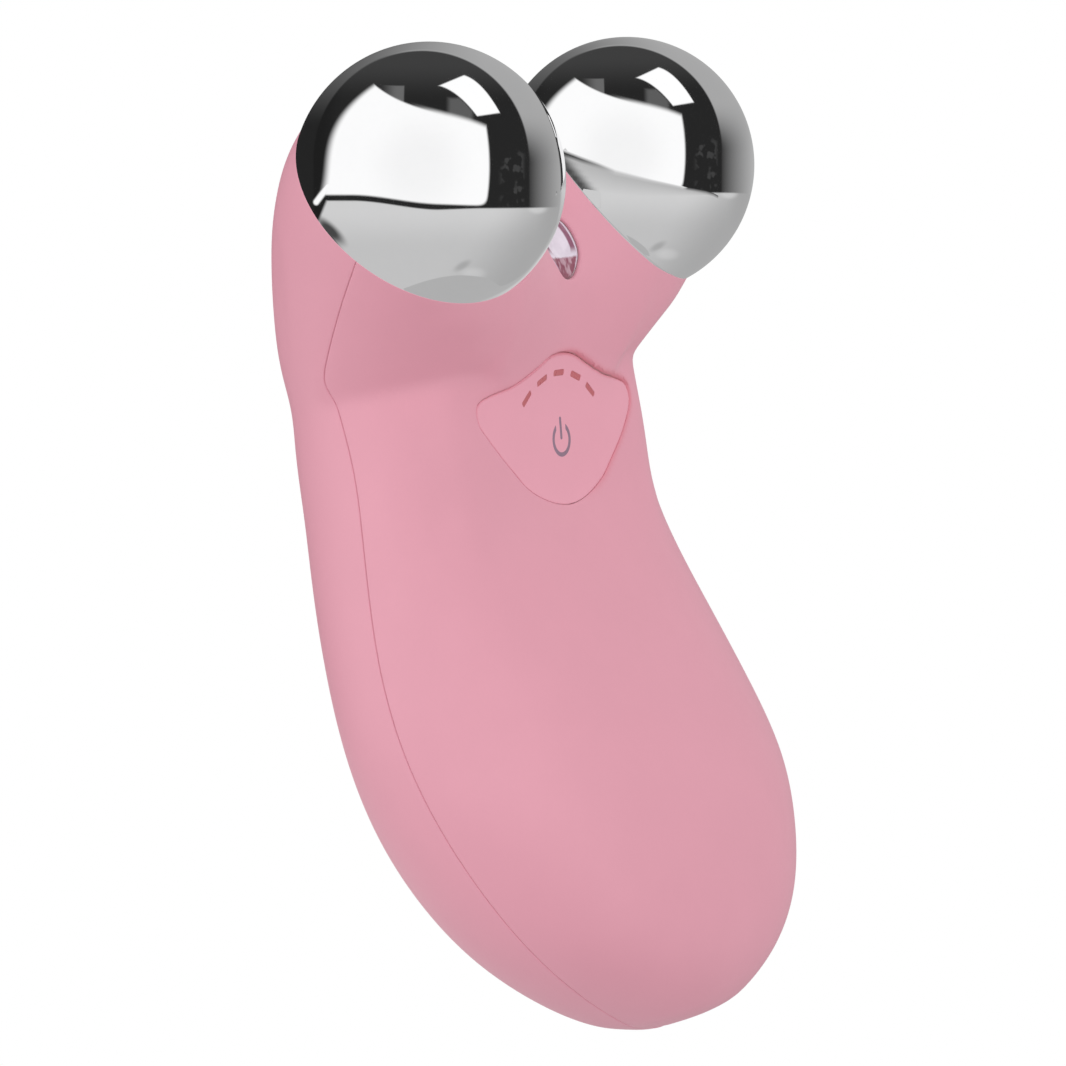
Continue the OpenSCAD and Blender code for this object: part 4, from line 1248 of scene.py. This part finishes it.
# ------------------------------------------------------------------ camera
AZ, EL, RO = math.radians(-57.002), math.radians(-0.417), math.radians(-11.837)
back = np.array([math.sin(AZ) * math.cos(EL), -math.cos(AZ) * math.cos(EL), math.sin(EL)])
right = np.array([math.cos(AZ), math.sin(AZ), 0.0])
upv = np.cross(back, right)
r2 = right * math.cos(RO) + upv * math.sin(RO)
u2 = -right * math.sin(RO) + upv * math.cos(RO)
tgt = np.array([0, 7.092, 64.870]) * 0.001
cam = bpy.data.cameras.new("camera")
cam.lens = 150.13
cam.sensor_width = 36
cam.clip_start, cam.clip_end = 0.05, 20
co = bpy.data.objects.new("camera", cam)
bpy.context.scene.collection.objects.link(co)
loc = tgt + back * 0.577416
co.matrix_world = Matrix(((r2[0], u2[0], back[0], loc[0]), (r2[1], u2[1], back[1], loc[1]), (r2[2], u2[2], back[2], loc[2]), (0, 0, 0, 1)))
bpy.context.scene.camera = co

# ------------------------------------------------------------------ studio
# The balls mirror a studio: a large and a small softbox, a dark room and a
# pale table. Its layout is written in the coordinates U, V of the mirror
# ball that would show it, seen from the direction EYE.
EYE = np.array([-0.829, -0.540, -0.094])
eye = loc - (BALL * [0, 1, 1] + OFF) * 0.001
EYE = eye / np.linalg.norm(eye)
MR = r2 - (r2 @ EYE) * EYE
MR /= np.linalg.norm(MR)
MU = np.cross(EYE, MR)

world = bpy.data.worlds.new("studio")
bpy.context.scene.world = world
world.use_nodes = True
g = Graph(world.node_tree)
tc = g.node("ShaderNodeTexCoord")
D = Sock(g, tc.outputs["Generated"])
Nn = g.vec("NORMALIZE", g.vec("ADD", D, tuple(EYE)))
u = g.vec("DOT_PRODUCT", Nn, tuple(MR))
v = g.vec("DOT_PRODUCT", Nn, tuple(MU))
w = g.vec("DOT_PRODUCT", Nn, tuple(EYE))


def fitp(pts, deg, swap=False):
    a = np.array(pts)
    x, y = (a[:, 1], a[:, 0]) if swap else (a[:, 0], a[:, 1])
    return np.polyfit(x, y, deg)


hz = g.ss(u, -0.55, 0.10, -0.133, -0.199)
th = g.ss(u, 0.0, 0.40, 0.019, 0.008)
top = g.poly(u, fitp([(-.395, .676), (-.185, .562), (.005, .491), (.236, .443), (.433, .370)], 3))
rt = g.poly(v, fitp([(.421, .383), (.447, .104), (.434, -.113)], 2, True))
lf = g.poly(v, fitp([(-.758, -.06), (-.738, .077), (-.724, .199), (-.680, .349), (-.627, .457), (-.534, .559), (-.40, .674)], 4, True))
s_top = g.ss(top - v, -0.006, 0.012)
s_top2 = g.ss(top - v, -0.03, 0.02)
s_top = g.mix(s_top, s_top2, g.ss(u, -0.15, 0.1))
br = g.math("SMOOTH_MIN", rt - u, v - hz - th, 0.09)
box = g.min(s_top, g.ss(br, -0.007, 0.014), g.ss(u - lf, -0.03, 0.045))
# little hook at the box's lower left corner
du, dv = u + 0.79, v + 0.135
along = g.math("MAXIMUM", g.math("MINIMUM", du * -0.62 + dv * -0.78, 0.035), -0.11)
hook = g.hypot(du + along * 0.62, dv + along * 0.78)
box = g.max(box, g.ss(hook, 0.030, 0.012))
boxl = g.mix(0.97, 0.90, g.ss(g.hypot(u + 0.05, v - 0.1), 0.45, 0.1))
s1 = (u - 0.073) * 0.448 + 0.674 - v
s2 = g.poly(u, fitp([(.256, .750), (.345, .704), (.416, .627), (.518, .480)], 2)) - v
s3 = v - 0.455 - (u - 0.351) * 0.16
s4 = v - g.poly(u, fitp([(.351, .455), (.30, .525), (.236, .579), (.16, .637), (.073, .674)], 2))
small = g.ss(g.min(s1, s2, s3, s4), -0.006, 0.008)
# grey panels beside the boxes
pan1 = g.min(g.ss(v, 0.30, 0.42), g.ss(u, -0.36, -0.22), g.ss(u, -0.172, -0.182), g.ss(v, 0.676, 0.664))
pan2 = g.min(g.ss(v, 0.30, 0.42), g.ss(u, 0.12, 0.17), g.ss(-s4, 0.0, 0.02), g.ss(u, 0.34, 0.30), g.ss(v, 0.60, 0.57))
dark = g.mix(lin(38), lin(62), g.ss(v, 0.55, 0.85))
dark = g.mix(dark, lin(30), g.ss(u, -0.6, -0.8))
cn = g.node("ShaderNodeTexNoise")
g.put(cn.inputs["Vector"], Nn)
cn.inputs["Scale"].default_value = 14
clutter = g.ss(Sock(g, cn.outputs[0]), 0.52, 0.62) * g.min(g.ss(u, 0.50, 0.56), g.ss(u, 0.71, 0.67), g.ss(v, 0.25, 0.15))
dark = dark + clutter * 0.03
dark = g.mix(dark, lin(104), pan1)
dark = g.mix(dark, lin(92), pan2)
# rim band
gg = g.hypot(u + 0.05, g.math("MAXIMUM", v, 0.10) - 0.15) - 0.78
flat_ = g.ss(u, -0.75, 0.45, lin(88), lin(166))
ramp = g.ss(gg, 0.0, 0.25, 0.035, 0.41, kind="LINEAR")
lowr = g.ss(v, 0.5, 0.1)
band = g.mix(flat_, ramp, lowr)
shady = g.ss(u, -0.30, -0.62) * g.ss(v, 0.80, 0.36)
band = g.mix(band, lin(36), shady)
up = g.mix(dark, band, g.ss(gg, -0.006, 0.010))
line = g.ss(g.math("ABSOLUTE", gg), 0.009, 0.002) * g.ss(v, 0.15, 0.45) * g.ss(u, -0.45, -0.1)
up = up + line * 0.16
up = g.mix(up, boxl, box)
up = g.mix(up, 1.0, small)
# table
low = g.mix(lin(206), lin(192), g.ss(v, -0.21, -0.50))
low = g.mix(low, lin(166), g.ss(u - v * 0.8, 0.62, 1.2))
low = g.mix(low, lin(163), g.ss(u, 0.76, 0.92))
sd = g.hypot((u - 0.24) * 0.8 + (v + 0.625) * 0.45, ((v + 0.625) * 0.8 - (u - 0.24) * 0.45) * 2.6)
low = low - g.ss(sd, 0.09, 0.02) * 0.12
sl = g.hypot(u - 0.32, (v + 0.685) * 2.0)
low = low + g.ss(sl, 0.12, 0.03) * 0.08
# painted reflection of the ball's own rim: a dark streak on the table
wl = g.hypot((u + 0.715) * 0.74 - (v + 0.365) * 0.67, ((u + 0.715) * 0.67 + (v + 0.365) * 0.74) * 2.9)
low = g.mix(low, lin(70), g.ss(wl, 0.19, 0.05))
low = g.mix(low, lin(214), g.ss(g.hypot(u - 0.79, (v + 0.215) * 1.7), 0.09, 0.03) * 0.6)
lowm = g.ss(hz - th * 0.9 - v, -0.004, 0.010)
lowm = g.min(lowm, g.ss(u + 0.745 - (v + 0.168) * 0.45, -0.01, 0.02))
img = g.mix(up, low, lowm)
img = g.math("MULTIPLY", img, 1.0 / 0.90)
# soft light for everything that isn't a mirror
dz = g.node("ShaderNodeSeparateXYZ")
g.put(dz.inputs[0], D)
lp = g.node("ShaderNodeLightPath")


def blend(a, b, f):
    n = g.node("ShaderNodeMix", data_type="RGBA")
    g.put(n.inputs[0], f)
    for k, v in ((6, a), (7, b)):
        if isinstance(v, Sock):
            g.put(n.inputs[k], v)
        else:
            n.inputs[k].default_value = (*v, 1)
    return Sock(g, n.outputs[2])


dx, dy, dzz = [Sock(g, o) for o in dz.outputs]
wash = (g.max(dzz, 0.0) * 0.11 + g.max(-dx, 0.0) * 0.155 + g.max(dx, 0.0) * 0.58
        + g.max(-dy, 0.0) * 0.70 + g.max(dy, 0.0) * 0.57)
soft = g.vec("ADD", wash, (0.253, 0.217, 0.227))
val = blend(soft, img, Sock(g, lp.outputs["Is Glossy Ray"]))
val = blend(val, (1.0, 1.0, 1.0), Sock(g, lp.outputs["Is Camera Ray"]))
bgn = g.node("ShaderNodeBackground")
g.put(bgn.inputs[0], val)
bgn.inputs[1].default_value = 1.0
wo = g.node("ShaderNodeOutputWorld")
g.t.links.new(bgn.outputs[0], wo.inputs[0])

# card near the right ball that lifts the table's edge in it towards the left: a painted reflection, with a painted
# dark line along that edge
def seen_at(uu, vv, t):
    """Point that the right ball mirrors at U, V, t millimetres off its surface."""
    nrm = uu * MR + vv * MU + math.sqrt(1 - uu * uu - vv * vv) * EYE
    return BALL + BALL_R * nrm + t * (2 * (nrm @ EYE) * nrm - EYE)


RISE = [(-.60, .130), (-.492, .094), (-.37, .047), (-.235, 0), (-.1, -.054), (.04, -.088), (.183, -.122), (.3, -.146), (.406, -.169), (.44, -.178),
        (.5, -.187), (.6, -.206), (.66, -.224), (.70, -.245)]
Pc, Lc = [], []
cols = np.arange(-.60, .701, .02)
for a in cols:
    line = np.interp(a, [p[0] for p in RISE], [p[1] for p in RISE])
    t = float(step(.45, -.4, a))
    base = -0.163 - 0.072 * float(step(-.55, .10, a))
    wide = 0.014 + 0.018 * t
    foot_v = min(base, line - wide - 0.004)
    room = float(step(.435, .455, a))
    # painted reflection: brightness of the dark line along the table's edge, across the card
    dark_line_level = float(np.interp(a, [-.5, -.42, -.34, -.2, -.1, .42, .46, .7], [.02, .04, .13, .40, .62, .62, .2, .3]))
    rows = [(line + wide * .8, .95 * (1 - room) + .03 * room), (line, dark_line_level), (line - wide, .52)]
    rows += [(line - wide + (foot_v - line + wide) * j / 5, .52 + .16 * j / 5) for j in range(1, 6)]
    for vv, lev in rows:
        # painted shade in the mirror image, dark along the casing's edge
        near = a + 0.466 + (vv + 0.084) * 0.85
        Pc.append(seen_at(a, vv, 9))
        Lc.append(lev * (1 - 0.88 * float(step(.15, .05, near))))
Pc, n = np.array(Pc), 8
Fc = np.array([[i * n + j, i * n + j + 1, i * n + n + j + 1, i * n + n + j] for i in range(len(cols) - 1) for j in range(n - 1)])
nn = np.cross(Pc[Fc[0, 1]] - Pc[Fc[0, 0]], Pc[Fc[0, 2]] - Pc[Fc[0, 0]])
if nn @ (BALL - Pc[0]) < 0:
    Fc = Fc[:, ::-1]
card("card_rise", Pc, Fc, Lc)

# broad fills from the left, without shadows or highlights
for k, (energy, way) in enumerate(((0.345, (-0.78, -0.33, 0.53)), (0.54, (-0.95, 0.15, 0.1)),
                                   (0.32, (-0.5, 0.75, 0.43)))):
    sun = bpy.data.lights.new("fill_%d" % k, "SUN")
    sun.energy = energy
    sun.angle = 1.0
    sun.use_shadow = False
    sun.specular_factor = 0.0
    so = bpy.data.objects.new("fill_%d" % k, sun)
    bpy.context.scene.collection.objects.link(so)
    so.visible_glossy = False
    so.rotation_euler = Vector(way).to_track_quat("Z", "Y").to_euler()

# floor: a pale sheet under the tip
fm = bpy.data.materials.new("floor_sheet")
fm.use_nodes = True
fg = Graph(fm.node_tree)
fo = fg.node("ShaderNodeOutputMaterial")
fe = fg.node("ShaderNodeEmission")
fe.inputs[0].default_value = (1, 1, 1, 1)
fe.inputs[1].default_value = 1.0
fg.t.links.new(fe.outputs[0], fo.inputs[0])
fz = (-0.06 + OFF[2]) * 0.001
bm = bmesh.new()
n = 64
vs = [bm.verts.new((0.6 * math.cos(2 * math.pi * k / n), 0.6 * math.sin(2 * math.pi * k / n), fz)) for k in range(n)]
bm.faces.new(vs)
fme = bpy.data.meshes.new("floor")
bm.to_mesh(fme)
bm.free()
fme.materials.append(fm)
floor = bpy.data.objects.new("floor", fme)
bpy.context.scene.collection.objects.link(floor)
floor.visible_glossy = False
floor.visible_diffuse = False
floor.visible_shadow = False
floor.visible_transmission = False

bpy.context.scene.view_settings.view_transform = "Standard"
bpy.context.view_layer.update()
say("done")
